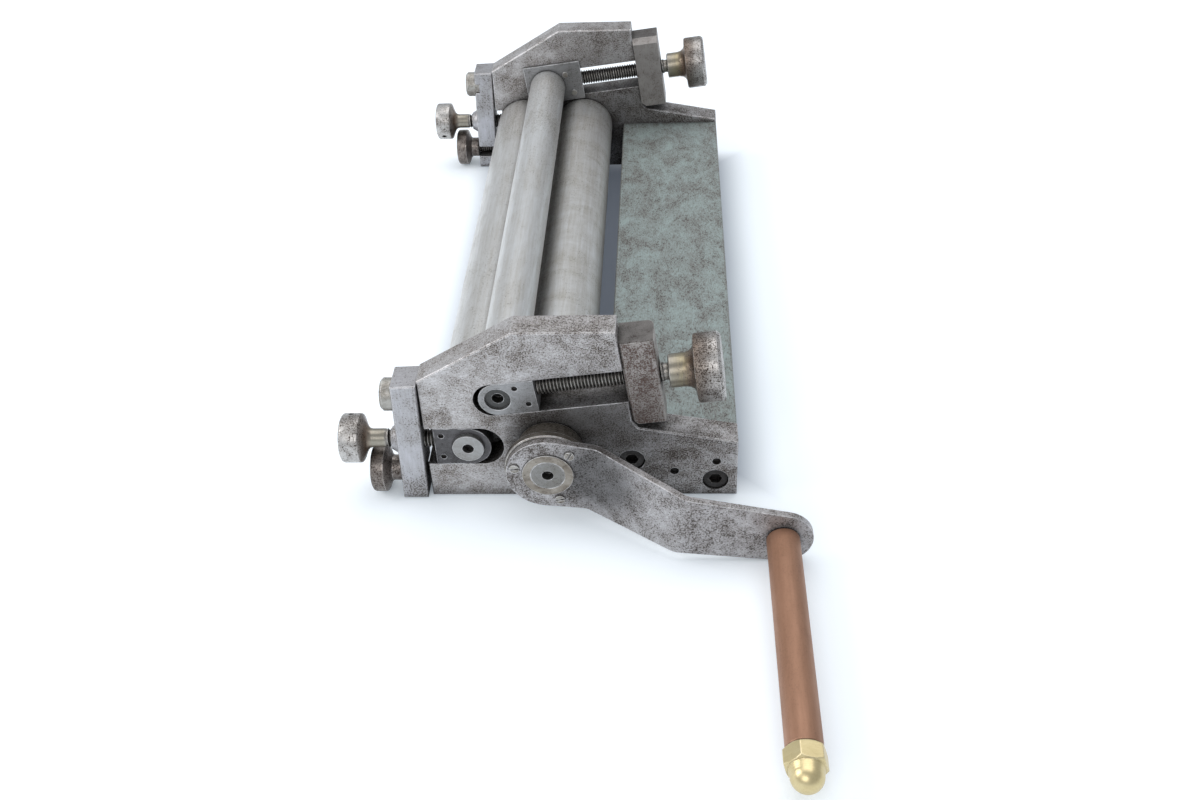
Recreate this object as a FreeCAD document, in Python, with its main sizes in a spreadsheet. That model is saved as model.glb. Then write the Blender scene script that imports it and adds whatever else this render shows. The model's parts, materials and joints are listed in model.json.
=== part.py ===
import FreeCAD, Part
import os
import Sketcher

# Hand-cranked three-roll bending machine (slip rolls) for the bench.
# Two steel end plates stand on a bed bar and carry three rolls that lie along +Y.
# Every piece is drawn from the near plate's outer lower left corner: x to the right, y along the
# rolls away from the crank, z up from the bench. finish() then moves it to the part's own origin,
# the centre of the bed bar's underside.

doc = FreeCAD.newDocument("slip_rolls")

# Driving dimensions in millimetres and degrees.
SIZES = {
    # end plates and bed
    "plate_width": 130.0, "plate_thick": 12.7, "plate_height": 85.0, "clear_length": 279.4,
    "left_height": 61.4, "crown_left": 40.0, "step_foot_x": 86.5, "step_foot_z": 40.8,
    "tail_root_x": 88.9, "tail_root_z": 37.0, "tail_end_z": 29.1, "edge_break": 0.5,
    "bar_width": 54.5, "bar_height": 27.3,
    # rolls
    "lower_axis_z": 27.5, "front_roll_x": 18.0, "drive_roll_x": 52.4, "lower_roll_dia": 33.0,
    "top_roll_x": 32.3, "top_roll_z": 52.2, "top_roll_dia": 20.0, "roll_end_gap": 0.5,
    "front_journal_dia": 13.2, "front_journal_proud": 1.6, "top_journal_dia": 10.6,
    "top_journal_sunk": 1.0, "drive_journal_dia": 14.0, "running_gap": 0.05,
    "centre_hole_dia": 4.8, "centre_hole_deep": 4.0,
    # slots and slide blocks
    "slot_tilt": 7.0, "front_slot_tall": 19.2, "front_slot_end": 32.9, "top_slot_tall": 15.9,
    "top_slot_end": 2.1, "slide_gap": 0.1, "front_block_left": 3.9, "top_block_right": 15.8,
    "stop_pin_dia": 2.4, "stop_pin_sunk": 0.9, "front_pin_x": 7.0, "front_pin_gap": 0.4,
    "top_pin_a": 7.9, "top_pin_a_rise": 4.7, "top_pin_b": 12.2, "top_pin_b_drop": 3.8,
    "front_tip_bore_deep": 5.7, "top_tip_bore_deep": 5.4,
    # thin plates on the inner side of the top roll's blocks
    "guide_left": 12.4, "guide_right": 20.3, "guide_above": 12.9, "guide_thick": 1.2,
    "guide_roll_gap": 0.6, "guide_corner_wide": 9.4, "guide_corner_rise": 1.8,
    "guide_screw_dia": 2.0, "guide_screw_head": 3.4, "guide_screw_proud": 0.5,
    "guide_screw_reach": 4.0, "guide_screw_a_u": 11.2, "guide_screw_a_w": 5.9,
    "guide_screw_b_u": 14.6, "guide_screw_b_w": -5.6,
    # keeper bars at the left
    "keeper_thick": 10.5, "keeper_lean": 1.9, "keeper_height": 60.6, "keeper_top_fall": 0.4,
    "keeper_proud": 2.0, "foot_gap": 0.3, "boss_dia": 13.6, "boss_face_dia": 9.8,
    "boss_proud": 3.2, "front_axis_shift": 0.45, "clamp_axis_z": 10.5,
    "clamp_slot_tall": 6.6, "keeper_screw_z": 51.0, "keeper_screw_gap": 0.4,
    # yoke blocks at the right
    "yoke_wide": 14.0, "yoke_below": 19.8, "yoke_above": 20.8, "yoke_deep": 14.8,
    "yoke_toe_wide": 2.6, "yoke_toe_tall": 2.3, "near_yoke_round": 3.0, "near_yoke_bevel": 1.2,
    "far_yoke_bevel": 2.8,
    # thumbscrews
    "thread_dia": 8.0, "thread_gap": 0.1, "knob_bevel": 1.0, "front_knob_dia": 21.0,
    "front_knob_left": 36.1, "front_knob_thick": 8.7, "front_flare_long": 3.9,
    "front_flare_waist": 2.1, "front_tip_lip": 0.8, "front_tip_thick": 1.0,
    "pin_clear": 0.1, "tip_clear": 0.2, "tommy_hole_dia": 2.6, "tommy_hole_deep": 5.0,
    "top_knob_dia": 28.2, "top_knob_thick": 11.0, "collar_dia": 13.8, "collar_start": 3.6,
    "collar_long": 10.6, "collar_flare": 3.6, "top_tip_dia": 6.6, "top_neck_dia": 4.8,
    "top_tip_start": 6.8, "clamp_knob_dia": 20.6, "clamp_knob_left": 25.2,
    "clamp_knob_thick": 6.2, "clamp_collar_dia": 11.0, "clamp_thread_dia": 6.0,
    "clamp_reach": 15.0, "clamp_seat_gap": 0.3,
    # bought screws and dowels
    "bed_screw_dia": 6.0, "bed_screw_gap": 0.3, "bed_head_dia": 10.0, "bed_head_tall": 6.0, "counterbore_dia": 11.0,
    "counterbore_deep": 6.8, "bed_screw_reach": 20.0, "bed_screw_a_x": 85.9,
    "bed_screw_a_z": 19.4, "bed_screw_b_x": 120.9, "bed_screw_b_z": 8.4, "dowel_dia": 3.7,
    "dowel_sunk": 1.4, "dowel_reach": 12.0, "dowel_a_x": 103.7, "dowel_a_z": 13.4,
    "dowel_b_x": 121.2, "dowel_b_z": 18.6, "keeper_head_dia": 13.8, "keeper_head_tall": 8.0,
    "keeper_head_proud": 5.3, "keeper_screw_reach": 18.0,
    # crank
    "hub_gap": 0.5, "drum_dia": 27.2, "flange_dia": 35.8, "flange_thick": 3.0, "hub_front": 18.3,
    "spigot_dia": 21.0, "arm_face": 17.8, "arm_thick": 3.0, "arm_hub_radius": 17.0,
    "arm_end_radius": 12.0, "throw": 95.0, "droop": 9.1, "joggle_start": 17.8,
    "joggle_end": 53.7, "joggle_out": 21.5, "bend_radius": 5.0, "arm_screw_circle": 13.8,
    "arm_screw_dia": 2.5, "arm_screw_head": 4.2, "arm_screw_proud": 0.8, "key_wide": 4.0,
    "key_long": 8.0, "key_sunk": 2.0,
    # handle
    "grip_dia": 13.3, "grip_bore": 11.3, "grip_long": 99.2, "grip_gap": 0.3, "grip_bevel": 0.4,
    "core_dia": 11.1, "stud_dia": 8.0, "stud_head_dia": 13.0, "stud_head_thick": 2.5,
    "nut_flats": 13.8, "nut_turn": 16.0, "nut_hex_long": 7.0, "nut_neck_long": 2.7,
    "nut_bevel": 0.8, "dome_base_dia": 12.8, "dome_dia": 11.8,
}
ARM_SCREW_ANGLES = {"a": 165.0, "b": 48.0, "c": -72.0}

sheet = doc.addObject("Spreadsheet::Sheet", "Sizes")
for row, (alias, value) in enumerate(SIZES.items(), start=1):
    sheet.set(f"A{row}", alias)
    sheet.set(f"B{row}", str(value))
    sheet.setAlias(f"B{row}", alias)
doc.recompute()


def ex(text):
    """Turns {name} into a reference to that cell of the sheet."""
    return str(text).replace("{", "Sizes.").replace("}", "")


def number(text):
    """What an expression comes to now, for a sketch's first positions."""
    return float(sheet.evalExpression(ex(text)))


OVERALL = "(2 * {plate_thick} + {clear_length})"
MID = "({plate_thick} / 2)"
FRONT_MID = "({plate_thick} / 2 - {front_axis_shift})"
TOP_MID = "({yoke_deep} / 2)"


def bind(item, **paths):
    for path, text in paths.items():
        item.setExpression(path.replace("__", "."), ex(text))
    return item


def place(item, x="0", y="0", z="0", axis=None, angle="0"):
    if axis:
        turn = FreeCAD.Rotation(FreeCAD.Vector(*axis), number(angle))
        item.Placement = FreeCAD.Placement(FreeCAD.Vector(), turn)
        item.setExpression("Placement.Rotation.Angle", ex(angle))
    return bind(item, Placement__Base__x=x, Placement__Base__y=y, Placement__Base__z=z)


def block(name, x, y, z, length, width, height):
    item = doc.addObject("Part::Box", name)
    bind(item, Length=length, Width=width, Height=height)
    return place(item, x, y, z)


TURNS = {"x": ((0, 1, 0), "90"), "y": ((-1, 0, 0), "90"), "z": (None, "0")}


def rod(name, axis, dia, length, x, y, z):
    """A plain cylinder that runs from x, y, z along +axis."""
    item = doc.addObject("Part::Cylinder", name)
    bind(item, Radius=f"({dia}) / 2", Height=length)
    return place(item, x, y, z, *TURNS[axis])


def fuse(name, *items):
    joined = doc.addObject("Part::MultiFuse", name)
    joined.Shapes = list(items)
    joined.Refine = True
    return joined


def group(name, *items):
    """Holds separate solids together without joining them."""
    held = doc.addObject("Part::Compound", name)
    held.Links = list(items)
    return held


def cut(name, base, *tools):
    left = doc.addObject("Part::Cut", name)
    left.Base = base
    left.Tool = tools[0] if len(tools) == 1 else fuse(name + "_tools", *tools)
    left.Refine = True
    return left


def common(name, first, second):
    both = doc.addObject("Part::Common", name)
    both.Base = first
    both.Tool = second
    return both


def outline(body, role, corners):
    """A closed sketch through the corners, each held by two expressions."""
    sketch = body.newObject("Sketcher::SketchObject", body.Name + "_outline")
    plane = [part for part in body.Origin.OriginFeatures if part.Role == role][0]
    sketch.AttachmentSupport = (plane, "")
    sketch.MapMode = "FlatFace"
    spots = [FreeCAD.Vector(number(a), number(b), 0) for a, b in corners]
    for start, end in zip(spots, spots[1:] + spots[:1]):
        sketch.addGeometry(Part.LineSegment(start, end))
    for index, (a, b) in enumerate(corners):
        sketch.addConstraint(Sketcher.Constraint("Coincident", index - 1 if index else len(corners) - 1,
                                                 2, index, 1))
        for kind, axis_line, text in (("DistanceX", -2, a), ("DistanceY", -1, b)):
            if text == "0":
                sketch.addConstraint(Sketcher.Constraint("PointOnObject", index, 1, axis_line))
                continue
            at = sketch.addConstraint(Sketcher.Constraint(kind, -1, 1, index, 1, number(text)))
            sketch.setExpression(f"Constraints[{at}]", ex(text))
    return sketch


def slab(name, role, corners, thick):
    """A plate of the given outline, standing on its plane towards +Y (or +Z for XY_Plane)."""
    body = doc.addObject("PartDesign::Body", name)
    sketch = outline(body, role, corners)
    pad = body.newObject("PartDesign::Pad", name + "_pad")
    pad.Profile = sketch
    pad.Reversed = role == "XZ_Plane"
    bind(pad, Length=thick)
    doc.recompute()
    return body, pad


def edges_of(feature, wanted):
    """The names of the feature's straight edges that wanted() picks by their two ends."""
    names = []
    for index, edge in enumerate(feature.Shape.Edges, start=1):
        ends = [vertex.Point for vertex in edge.Vertexes]
        if len(ends) == 2 and wanted(*ends):
            names.append(f"Edge{index}")
    return names


def break_edges(body, feature, wanted, size="{edge_break}"):
    """A chamfer on the feature's edges that wanted() picks."""
    chamfer = body.newObject("PartDesign::Chamfer", body.Name + "_chamfer")
    chamfer.Base = (feature, edges_of(feature, wanted))
    bind(chamfer, Size=size)
    doc.recompute()
    return chamfer


def round_edges(body, feature, wanted, size):
    """A fillet on the feature's edges that wanted() picks."""
    fillet = body.newObject("PartDesign::Fillet", body.Name + "_fillet")
    fillet.Base = (feature, edges_of(feature, wanted))
    bind(fillet, Radius=size)
    doc.recompute()
    return fillet


def flat_edges(first, second):
    return abs(first.y - second.y) < 0.001


def turned(name, stations):
    """A lathe-turned piece about its own x axis, from pairs of station and radius."""
    body = doc.addObject("PartDesign::Body", name)
    corners = [(stations[0][0], "0")] + list(stations) + [(stations[-1][0], "0")]
    sketch = outline(body, "XY_Plane", corners)
    turn = body.newObject("PartDesign::Revolution", name + "_turn")
    turn.Profile = sketch
    turn.ReferenceAxis = (sketch, ["H_Axis"])
    turn.Angle = 360
    doc.recompute()
    return body


nodes = []


def finish(item, label):
    """Names a piece and moves it from the drawing corner to the part's origin."""
    x = dict(item.ExpressionEngine).get(".Placement.Base.x", "0")
    y = dict(item.ExpressionEngine).get(".Placement.Base.y", "0")
    bind(item, Placement__Base__x=f"{x} + {{bar_width}} / 2 - {{plate_width}}",
         Placement__Base__y=f"{y} - {OVERALL} / 2")
    for other in doc.getObjectsByLabel(label):
        if other is not item:
            other.Label = label + "_blank"
    item.Label = label
    nodes.append(item)
    return item


def depth(end, start, reach):
    """The low y of a piece that spans start to start + reach inwards from a plate's outer face."""
    if end == "near":
        return start
    return f"({OVERALL} - ({start}) - ({reach}))"


# ---------------------------------------------------------------- end plates

PLATE_OUTLINE = [
    ("0", "0"), ("{plate_width}", "0"), ("{plate_width}", "{tail_end_z}"),
    ("{tail_root_x}", "{tail_root_z}"), ("{step_foot_x}", "{step_foot_z}"),
    ("{step_foot_x} - ({plate_height} - {step_foot_z}) * tan({slot_tilt} * 1deg)", "{plate_height}"),
    ("{crown_left}", "{plate_height}"), ("0", "{left_height}"),
]
BED_SCREWS = {"a": ("{bed_screw_a_x}", "{bed_screw_a_z}"), "b": ("{bed_screw_b_x}", "{bed_screw_b_z}")}
DOWELS = {"a": ("{dowel_a_x}", "{dowel_a_z}"), "b": ("{dowel_b_x}", "{dowel_b_z}")}
TOP_AXIS = {"x": "{top_roll_x}", "z": "{top_roll_z}", "axis": (0, -1, 0), "angle": "{slot_tilt}"}


def end_plate(end):
    """Outline with a slot open to the left for the front roll's block, a sloping slot open to the
    right for the top roll's block, the drive roll's bore and the bed screws' holes."""
    name = f"{end}_plate"
    body, pad = slab(name, "XZ_Plane", PLATE_OUTLINE, "{plate_thick}")
    break_edges(body, pad, flat_edges)
    place(body, y=depth(end, "0", "{plate_thick}"))
    low = depth(end, "-1", "{plate_thick} + 2")
    through = "{plate_thick} + 2"
    half = "{front_slot_tall} / 2"
    tools = [
        block(name + "_front_slot", "-2", low, "{lower_axis_z} - " + half,
              "{front_slot_end} + 2 - " + half, through, "{front_slot_tall}"),
        rod(name + "_front_slot_end", "y", "{front_slot_tall}", through,
            "{front_slot_end} - " + half, low, "{lower_axis_z}"),
        rod(name + "_drive_bore", "y", "{drive_journal_dia} + 2 * {running_gap}", through,
            "{drive_roll_x}", low, "{lower_axis_z}"),
        rod(name + "_keeper_tap", "x", "{thread_dia}", "{keeper_screw_reach} + 1", "-1",
            depth(end, FRONT_MID, "0"), "{keeper_screw_z}"),
        rod(name + "_clamp_tap", "x", "{clamp_thread_dia} + 2 * {thread_gap}", "{clamp_reach} + 2",
            "-1", depth(end, MID, "0"), "{clamp_axis_z}"),
    ]
    slot = fuse(name + "_top_slot",
                block(name + "_top_slot_run", "-{top_slot_end}", low, "-{top_slot_tall} / 2",
                      "{plate_width} - {top_roll_x}", through, "{top_slot_tall}"),
                rod(name + "_top_slot_end", "y", "{top_slot_tall}", through, "-{top_slot_end}", low, "0"))
    tools.append(place(slot, **TOP_AXIS))
    for key, (x, z) in BED_SCREWS.items():
        tools.append(rod(f"{name}_hole_{key}", "y", "{bed_screw_dia} + 2 * {bed_screw_gap}", through, x, low, z))
        tools.append(rod(f"{name}_counterbore_{key}", "y", "{counterbore_dia}", "{counterbore_deep} + 1",
                         x, depth(end, "-1", "{counterbore_deep} + 1"), z))
    for key, (x, z) in DOWELS.items():
        tools.append(rod(f"{name}_dowel_{key}", "y", "{dowel_dia}", through, x, low, z))
    finish(cut(name + "_cut", body, *tools), f"{end}_end_plate")


for side in ("near", "far"):
    end_plate(side)


# ---------------------------------------------------------------- bed bar and its fastenings

def bed_bar():
    body, pad = slab("bar", "XZ_Plane", [
        ("{plate_width} - {bar_width}", "0"), ("{plate_width}", "0"),
        ("{plate_width}", "{bar_height}"), ("{plate_width} - {bar_width}", "{bar_height}"),
    ], "{clear_length}")
    break_edges(body, pad, lambda first, second: abs(first.y - second.y) > 1)
    place(body, y="{plate_thick}")
    tools = []
    for end in ("near", "far"):
        for key, (x, z) in BED_SCREWS.items():
            tools.append(rod(f"bar_tap_{end}_{key}", "y", "{bed_screw_dia}", "{bed_screw_reach} + 1",
                             x, depth(end, "{plate_thick} - 1", "{bed_screw_reach} + 1"), z))
        for key, (x, z) in DOWELS.items():
            tools.append(rod(f"bar_dowel_{end}_{key}", "y", "{dowel_dia}", "{dowel_reach} + 1",
                             x, depth(end, "{plate_thick} - 1", "{dowel_reach} + 1"), z))
    finish(cut("bar_cut", body, *tools), "bed_bar")


def hexagon(name, axis, flats, length, x, y, z):
    """A six-sided prism that runs from x, y, z along +axis."""
    item = doc.addObject("Part::Prism", name)
    item.Polygon = 6
    bind(item, Circumradius=f"({flats}) / sqrt(3)", Height=length)
    return place(item, x, y, z, *TURNS[axis])


def bed_screws(end):
    """Socket head cap screws, sunk in the plate's counterbores."""
    sunk = "({counterbore_deep} - {bed_head_tall})"
    screws = []
    for key, (x, z) in BED_SCREWS.items():
        name = f"{end}_bed_screw_{key}"
        reach = "{plate_thick} - {counterbore_deep} + {bed_screw_reach}"
        solid = fuse(name + "_blank",
                     rod(name + "_head", "y", "{bed_head_dia}", "{bed_head_tall}", x,
                         depth(end, sunk, "{bed_head_tall}"), z),
                     rod(name + "_shank", "y", "{bed_screw_dia}", reach, x,
                         depth(end, "{counterbore_deep}", reach), z))
        socket = hexagon(name + "_socket", "y", "{bed_screw_dia} * 5 / 6", "{bed_head_tall} / 2 + 1", x,
                         depth(end, sunk + " - 1", "{bed_head_tall} / 2 + 1"), z)
        screws.append(cut(name, solid, socket))
    finish(group(f"{end}_bed_screw_pair", *screws), f"{end}_bed_screws")


def dowels(end):
    pins = []
    for key, (x, z) in DOWELS.items():
        reach = "{plate_thick} - {dowel_sunk} + {dowel_reach}"
        pins.append(rod(f"{end}_dowel_{key}", "y", "{dowel_dia}", reach, x,
                        depth(end, "{dowel_sunk}", reach), z))
    finish(group(f"{end}_dowel_pair", *pins), f"{end}_dowel_pins")


bed_bar()
for side in ("near", "far"):
    bed_screws(side)
    dowels(side)


# ---------------------------------------------------------------- keeper bars, screws

KEEPER_OUTLINE = [
    ("-{keeper_thick} - {keeper_lean}", "{foot_gap}"), ("-{keeper_lean}", "{foot_gap}"),
    ("0", "{keeper_height}"), ("-{keeper_thick}", "{keeper_height} - {keeper_top_fall}"),
]
LEFT_FACE = "(-{keeper_thick} - {keeper_lean} * (1 - {lower_axis_z} / {keeper_height}))"
CLAMP_FACE = "(-{keeper_thick} - {keeper_lean})"
KEEPER_TOP_FACE = "(-{keeper_thick} - {keeper_lean} * (1 - {keeper_screw_z} / {keeper_height}))"


def keeper(end):
    """A bar that closes the front slot. Its foot has a slot open to the inside, so that it could
    swing away on its top screw once the clamp screw is slack."""
    name = f"{end}_keeper"
    deep = "{plate_thick} + {keeper_proud}"
    body, pad = slab(name, "XZ_Plane", KEEPER_OUTLINE, deep)
    break_edges(body, pad, flat_edges)
    place(body, y="-{keeper_proud}" if end == "near" else f"{OVERALL} - {{plate_thick}}")
    middle = depth(end, FRONT_MID, "0")
    foot_middle = depth(end, MID, "0")
    boss = turned(name + "_boss", [
        ("0", "{boss_face_dia} / 2"), ("{boss_proud}", "{boss_dia} / 2"),
        ("{boss_proud} + {keeper_thick} / 3", "{boss_dia} / 2"),
    ])
    place(boss, LEFT_FACE + " - {boss_proud}", middle, "{lower_axis_z}")
    slot_low = depth(end, MID, "{plate_thick}")
    long = "{keeper_thick} + {keeper_lean} + 4"
    tools = [
        rod(name + "_thread", "x", "{thread_dia} + 2 * {thread_gap}", "{keeper_thick} + {boss_proud} + 6",
            LEFT_FACE + " - {boss_proud} - 1", middle, "{lower_axis_z}"),
        block(name + "_slot", CLAMP_FACE + " - 2", slot_low, "{clamp_axis_z} - {clamp_slot_tall} / 2",
              long, "{plate_thick}", "{clamp_slot_tall}"),
        rod(name + "_slot_end", "x", "{clamp_slot_tall}", long, CLAMP_FACE + " - 2", foot_middle,
            "{clamp_axis_z}"),
        rod(name + "_screw_hole", "x", "{thread_dia} + 2 * {keeper_screw_gap}", long,
            CLAMP_FACE + " - 2", middle, "{keeper_screw_z}"),
        rod(name + "_seat", "x", "{keeper_head_dia} + 2 * {keeper_screw_gap}",
            "{keeper_head_tall} - {keeper_head_proud} + 6", KEEPER_TOP_FACE + " - 6", middle,
            "{keeper_screw_z}"),
    ]
    finish(cut(name + "_cut", fuse(name + "_blank", body, boss), *tools), f"{end}_keeper")


def keeper_screw(end):
    """The socket head cap screw at the keeper's top."""
    name = f"{end}_keeper_screw"
    middle = depth(end, FRONT_MID, "0")
    seat = KEEPER_TOP_FACE + " + {keeper_head_tall} - {keeper_head_proud}"
    head = "{keeper_head_dia} / 2"
    solid = turned(name + "_blank", [
        ("-{keeper_head_tall}", head + " - {knob_bevel}"),
        ("-{keeper_head_tall} + {knob_bevel}", head), ("0", head), ("0", "{thread_dia} / 2"),
        ("{keeper_screw_reach} - (" + seat + ")", "{thread_dia} / 2"),
    ])
    place(solid, seat, middle, "{keeper_screw_z}")
    socket = hexagon(name + "_socket", "x", "{thread_dia} * 3 / 4", "{keeper_head_tall} / 2 + 1",
                     seat + " - {keeper_head_tall} - 1", middle, "{keeper_screw_z}")
    finish(cut(name + "_cut", solid, socket), f"{end}_keeper_screw")


# ---------------------------------------------------------------- yokes

STEP_U = ("(({step_foot_x} - {top_roll_x}) * cos({slot_tilt} * 1deg)"
          " + ({step_foot_z} - {top_roll_z}) * sin({slot_tilt} * 1deg))")


def yoke(end):
    """The threaded block that stands across the sloping slot's open end."""
    name = f"{end}_yoke"
    body, pad = slab(name, "XZ_Plane", [
        (STEP_U, "-{yoke_below} + {yoke_toe_tall}"), (STEP_U + " + {yoke_toe_wide}", "-{yoke_below}"),
        (STEP_U + " + {yoke_wide}", "-{yoke_below}"), (STEP_U + " + {yoke_wide}", "{yoke_above}"),
        (STEP_U, "{yoke_above}"),
    ], "{yoke_deep}")
    left = number(STEP_U)
    right = number(STEP_U + " + {yoke_wide}")
    top = number("{yoke_above}")
    deep = number("{yoke_deep}")

    def along(first, second, x, y):
        return all(abs(spot.x - x) < 0.01 and abs(spot.y - y) < 0.01 for spot in (first, second))

    if end == "near":
        rounded = round_edges(body, pad, lambda a, b: along(a, b, right, deep), "{near_yoke_round}")
        dressed = break_edges(body, rounded, lambda a, b: along(a, b, left, 0), "{near_yoke_bevel}")
        break_edges(body, dressed, lambda a, b: along(a, b, right, 0))
    else:
        dressed = break_edges(body, pad, lambda a, b: all(
            abs(spot.z - top) < 0.01 and abs(spot.y) < 0.01 for spot in (a, b)), "{far_yoke_bevel}")
        break_edges(body, dressed, lambda a, b: along(a, b, right, deep) or along(a, b, left, deep))
    place(body, y=depth(end, "0", "{yoke_deep}"), **TOP_AXIS)
    bore = rod(name + "_thread", "x", "{thread_dia} + 2 * {thread_gap}", "{yoke_wide} + 4",
               STEP_U + " - 2", depth(end, TOP_MID, "0"), "0")
    finish(cut(name + "_cut", body, place(group(name + "_bore", bore), **TOP_AXIS)), f"{end}_yoke")


for side in ("near", "far"):
    keeper(side)
    keeper_screw(side)
    yoke(side)


# ---------------------------------------------------------------- slide blocks and stop pins

FRONT_TIP = "({thread_dia} + 2 * {front_tip_lip})"
FRONT_PIN_RISE = "({thread_dia} / 2 + {stop_pin_dia} / 2 + {front_pin_gap})"
GUIDE_SCREWS = {"a": ("{guide_screw_a_u}", "{guide_screw_a_w}"),
                "b": ("{guide_screw_b_u}", "{guide_screw_b_w}")}
TOP_BLOCK_DEEP = "({plate_thick} + {slide_gap})"
LOWER_ROLL_TOPS = {
    roll_x: (f"(({{lower_axis_z}} - {{top_roll_z}}) * cos({{slot_tilt}} * 1deg)"
             f" - ({roll_x} - {{top_roll_x}}) * sin({{slot_tilt}} * 1deg) + {{lower_roll_dia}} / 2)")
    for roll_x in ("{front_roll_x}", "{drive_roll_x}")}


def front_block(end):
    """The front roll's bearing block, round at its inner end."""
    name = f"{end}_front_block"
    tall = "({front_slot_tall} - 2 * {slide_gap})"
    low = depth(end, "0", "{plate_thick}")
    blank = fuse(name + "_blank",
                 block(name + "_run", "{front_block_left}", low, "{lower_axis_z} - " + tall + " / 2",
                       "{front_roll_x} - {front_block_left}", "{plate_thick}", tall),
                 rod(name + "_end", "y", tall, "{plate_thick}", "{front_roll_x}", low, "{lower_axis_z}"))
    tools = [
        rod(name + "_bore", "y", "{front_journal_dia} + 2 * {running_gap}", "{plate_thick} + 2",
            "{front_roll_x}", depth(end, "-1", "{plate_thick} + 2"), "{lower_axis_z}"),
        rod(name + "_tip_bore", "x", f"{FRONT_TIP} + 2 * {{tip_clear}}", "{front_tip_bore_deep} + 1",
            "{front_block_left} - 1", depth(end, FRONT_MID, "0"), "{lower_axis_z}"),
    ]
    pins = []
    for key, sign in (("upper", "+"), ("lower", "-")):
        z = "{lower_axis_z} " + sign + " " + FRONT_PIN_RISE
        tools.append(rod(f"{name}_{key}_hole", "y", "{stop_pin_dia}", "{plate_thick} + 2",
                         "{front_pin_x}", depth(end, "-1", "{plate_thick} + 2"), z))
        reach = "{plate_thick} - 2 * {stop_pin_sunk}"
        pins.append(rod(f"{name}_{key}_pin", "y", "{stop_pin_dia}", reach, "{front_pin_x}",
                        depth(end, "{stop_pin_sunk}", reach), z))
    finish(cut(name + "_cut", blank, *tools), f"{end}_front_block")
    finish(group(name + "_pins", *pins), f"{end}_front_stop_pins")


def top_block(end):
    """The top roll's bearing block, in the sloping slot."""
    name = f"{end}_top_block"
    tall = "({top_slot_tall} - 2 * {slide_gap})"
    low = depth(end, "0", TOP_BLOCK_DEEP)
    blank = fuse(name + "_blank",
                 block(name + "_run", "0", low, f"-{tall} / 2", "{top_block_right}",
                       TOP_BLOCK_DEEP, tall),
                 rod(name + "_end", "y", tall, TOP_BLOCK_DEEP, "0", low, "0"))
    tools = [
        rod(name + "_bore", "y", "{top_journal_dia} + 2 * {running_gap}", "{plate_thick} + 2", "0",
            depth(end, "-1", "{plate_thick} + 2"), "0"),
        rod(name + "_tip_bore", "x", "{top_tip_dia} + 2 * {tip_clear} + {thread_gap}",
            "{top_block_right} - {top_tip_start} + {tip_clear} + 1",
            "{top_tip_start} - {tip_clear}", depth(end, TOP_MID, "0"), "0"),
    ]
    for key, (x, z) in GUIDE_SCREWS.items():
        tools.append(rod(f"{name}_tap_{key}", "y", "{guide_screw_dia}", "{guide_screw_reach} + 1", x,
                         depth(end, TOP_BLOCK_DEEP + " - {guide_screw_reach}", "{guide_screw_reach} + 1"), z))
    pins = []
    for key, x, z in (("upper", "{top_pin_a}", "{top_pin_a_rise}"),
                      ("lower", "{top_pin_b}", "-{top_pin_b_drop}")):
        tools.append(rod(f"{name}_{key}_hole", "y", "{stop_pin_dia}", "{plate_thick} + 2", x,
                         depth(end, "-1", "{plate_thick} + 2"), z))
        reach = "{plate_thick} - 2 * {stop_pin_sunk}"
        pins.append(rod(f"{name}_{key}_pin", "y", "{stop_pin_dia}", reach, x,
                        depth(end, "{stop_pin_sunk}", reach), z))
    finish(place(cut(name + "_cut", blank, *tools), **TOP_AXIS), f"{end}_top_block")
    finish(place(group(name + "_pins", *pins), **TOP_AXIS), f"{end}_top_stop_pins")


def guide_plate(end):
    """A thin plate screwed to the top block's inner face, wider than the slot, so that the block
    can't slip outwards. Its foot clears both lower rolls."""
    name = f"{end}_guide_plate"
    foot = LOWER_ROLL_TOPS["{drive_roll_x}"] + " + {guide_roll_gap}"
    corner = LOWER_ROLL_TOPS["{front_roll_x}"] + " + {guide_corner_rise}"
    body, pad = slab(name, "XZ_Plane", [
        ("-{guide_left}", corner), ("-{guide_left} + {guide_corner_wide}", foot),
        ("{guide_right}", foot), ("{guide_right}", "{guide_above}"), ("-{guide_left}", "{guide_above}"),
    ], "{guide_thick}")
    place(body, y=depth(end, TOP_BLOCK_DEEP, "{guide_thick}"), **TOP_AXIS)
    through = "{guide_thick} + 2"
    low = depth(end, TOP_BLOCK_DEEP + " - 1", through)
    holes = [rod(name + "_journal_hole", "y", "{top_journal_dia} + 2 * {running_gap}", through, "0",
                 low, "0")]
    screws = []
    for key, (x, z) in GUIDE_SCREWS.items():
        holes.append(rod(f"{name}_hole_{key}", "y", "{guide_screw_dia}", through, x, low, z))
        reach = "{guide_screw_reach} + {guide_thick}"
        start = TOP_BLOCK_DEEP + " - {guide_screw_reach}"
        head = TOP_BLOCK_DEEP + " + {guide_thick}"
        screws.append(fuse(
            f"{name}_screw_{key}",
            rod(f"{name}_shank_{key}", "y", "{guide_screw_dia}", reach, x, depth(end, start, reach), z),
            rod(f"{name}_head_{key}", "y", "{guide_screw_head}", "{guide_screw_proud}", x,
                depth(end, head, "{guide_screw_proud}"), z)))
    turned_holes = place(group(name + "_holes", *holes), **TOP_AXIS)
    finish(cut(name + "_cut", body, turned_holes), f"{end}_guide_plate")
    finish(place(group(name + "_screws", *screws), **TOP_AXIS), f"{end}_guide_screws")


for side in ("near", "far"):
    front_block(side)
    top_block(side)
    guide_plate(side)


# ---------------------------------------------------------------- rolls

def along_rolls(item, x, z):
    """Lays a turned piece along +Y, with station 0 at the near plate's outer face."""
    return place(item, x, "0", z, (0, 0, 1), "90")


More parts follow.
